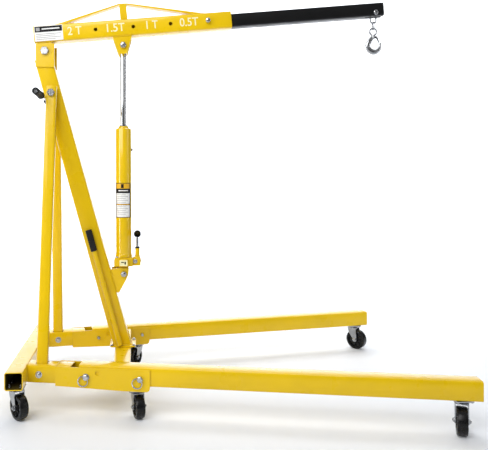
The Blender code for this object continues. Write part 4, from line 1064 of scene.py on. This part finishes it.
def valve_painted_light():
    """Painted highlight and shade on the release valve's knob: a pale face for its highlight, and two dark marks
    for the shade in its slot.
    """
    knob = RAM @ axes((0, -0.0560, 0.0470), (1, 0, 0), (0, 0, 1), (0, -1, 0))
    for name, u0, u1, v0, v1, material, depth in (
            # Painted highlight: the pale face. Painted shade: the two dark marks, in place of the slot.
            ("face", -0.0155, 0.0155, -0.0115, 0.0115, MARK_PRINT_AND_HIGHLIGHT, 0.0001),
            ("slot_shade_long", -0.0100, 0.0020, 0.0010, 0.0050, BLACK_PRINT_AND_SHADE, 0.0003),
            ("slot_shade_short", 0.0040, 0.0095, -0.0055, 0.0055, BLACK_PRINT_AND_SHADE, 0.0003)):
        patch("valve_" + name, u0, u1, v0, v1, material, depth, knob, "release_valve")


valve_painted_light()


# ---- stage, light and camera --------------------------------------------------------------------

def stage():
    """Pale floor that curves up into a wall."""
    n = Nodes("floor_white")
    stops = [(0.3, (0.79, 0.813, 0.852)), (0.7, (0.81, 0.833, 0.872))]
    n.feed("Base Color", n.ramp(n.noise(1.2, 2.0), stops))
    n.set("Roughness", 0.55)
    n.set("Specular IOR Level", 0.25)
    front, back, cove, wall_top, half_width = -7.0, 4.0, 1.5, 8.0, 9.0
    steps = 12
    profile = [(front, 0.0), (back, 0.0)]
    for k in range(1, steps + 1):
        angle = math.radians(90 * k / steps)
        profile.append((back + cove * math.sin(angle), cove - cove * math.cos(angle)))
    profile.append((back + cove, wall_top))
    bm = bmesh.new()
    rows = [[bm.verts.new((x, y, z - 0.0002)) for y, z in profile] for x in (-half_width, half_width)]
    for k in range(len(profile) - 1):
        bm.faces.new((rows[0][k], rows[1][k], rows[1][k + 1], rows[0][k + 1]))
    mesh = bpy.data.meshes.new("floor")
    bm.to_mesh(mesh)
    bm.free()
    mesh.shade_smooth()
    mesh.materials.append(n.material)
    floor = bpy.data.objects.new("floor", mesh)
    bpy.context.scene.collection.objects.link(floor)


def area(name, location, target, size, power):
    light = bpy.data.lights.new(name, "AREA")
    light.shape = "RECTANGLE"
    light.size, light.size_y = size
    light.energy = power
    item = bpy.data.objects.new(name, light)
    item.location = location
    item.rotation_euler = (Vector(target) - Vector(location)).to_track_quat("-Z", "Y").to_euler()
    bpy.context.scene.collection.objects.link(item)


def studio_world():
    """Bright surround that falls off to the sides and toward the viewer, for darker reflections."""
    world = bpy.data.worlds.new("studio")
    world.use_nodes = True
    tree = world.node_tree
    link = tree.links.new

    def math_node(operation):
        node = tree.nodes.new("ShaderNodeMath")
        node.operation = operation
        return node

    background = tree.nodes["Background"]
    background.inputs["Strength"].default_value = 0.50
    direction = tree.nodes.new("ShaderNodeTexCoord")
    split = tree.nodes.new("ShaderNodeSeparateXYZ")
    sideways, nearer, darker = math_node("ABSOLUTE"), math_node("MULTIPLY"), math_node("MAXIMUM")
    nearer.inputs[1].default_value = -0.90
    ramp = tree.nodes.new("ShaderNodeValToRGB")
    for element, (place, level) in zip(ramp.color_ramp.elements, ((0.50, 1.0), (0.80, 0.22))):
        element.position = place
        element.color = (level, level, level, 1.0)
    link(direction.outputs["Generated"], split.inputs[0])
    link(split.outputs["X"], sideways.inputs[0])
    link(split.outputs["Y"], nearer.inputs[0])
    link(sideways.outputs[0], darker.inputs[0])
    link(nearer.outputs[0], darker.inputs[1])
    link(darker.outputs[0], ramp.inputs["Fac"])
    link(ramp.outputs["Color"], background.inputs["Color"])
    bpy.context.scene.world = world


def lights():
    area("key", (-2.4, -3.3, 3.2), (-0.3, 0, 0.9), (3.2, 2.5), 96)
    area("upper", (-0.8, -2.1, 3.2), (-0.3, 0, 1.35), (1.4, 0.8), 22)
    area("top", (0.2, 1.5, 4.2), (0, -0.1, 0), (3.0, 1.2), 54)
    area("fill", (3.2, -2.6, 1.8), (0, 0, 0.7), (2.0, 2.4), 3)
    area("strip_left", (-2.9, -1.5, 1.3), (-0.3, 0, 1.1), (0.35, 2.4), 28)
    area("strip_right", (2.9, -1.2, 1.3), (0, 0, 0.9), (0.25, 2.4), 12)
    area("back_wall", (0.7, 2.6, 3.6), (0.7, 5.2, 1.2), (8.5, 2.0), 400)


def camera():
    data = bpy.data.cameras.new("camera")
    data.sensor_width = 36.0
    data.lens = 42.06
    data.shift_x = 0.1585
    data.shift_y = -0.0916
    data.clip_end = 60.0
    item = bpy.data.objects.new("camera", data)
    item.location = (-0.3484, -2.3487, 0.8676)
    item.rotation_euler = (math.radians(90 - 0.40), 0.0, math.radians(-3.11))
    bpy.context.scene.collection.objects.link(item)
    bpy.context.scene.camera = item


stage()
studio_world()
lights()
camera()
bpy.context.scene.view_settings.view_transform = "Standard"
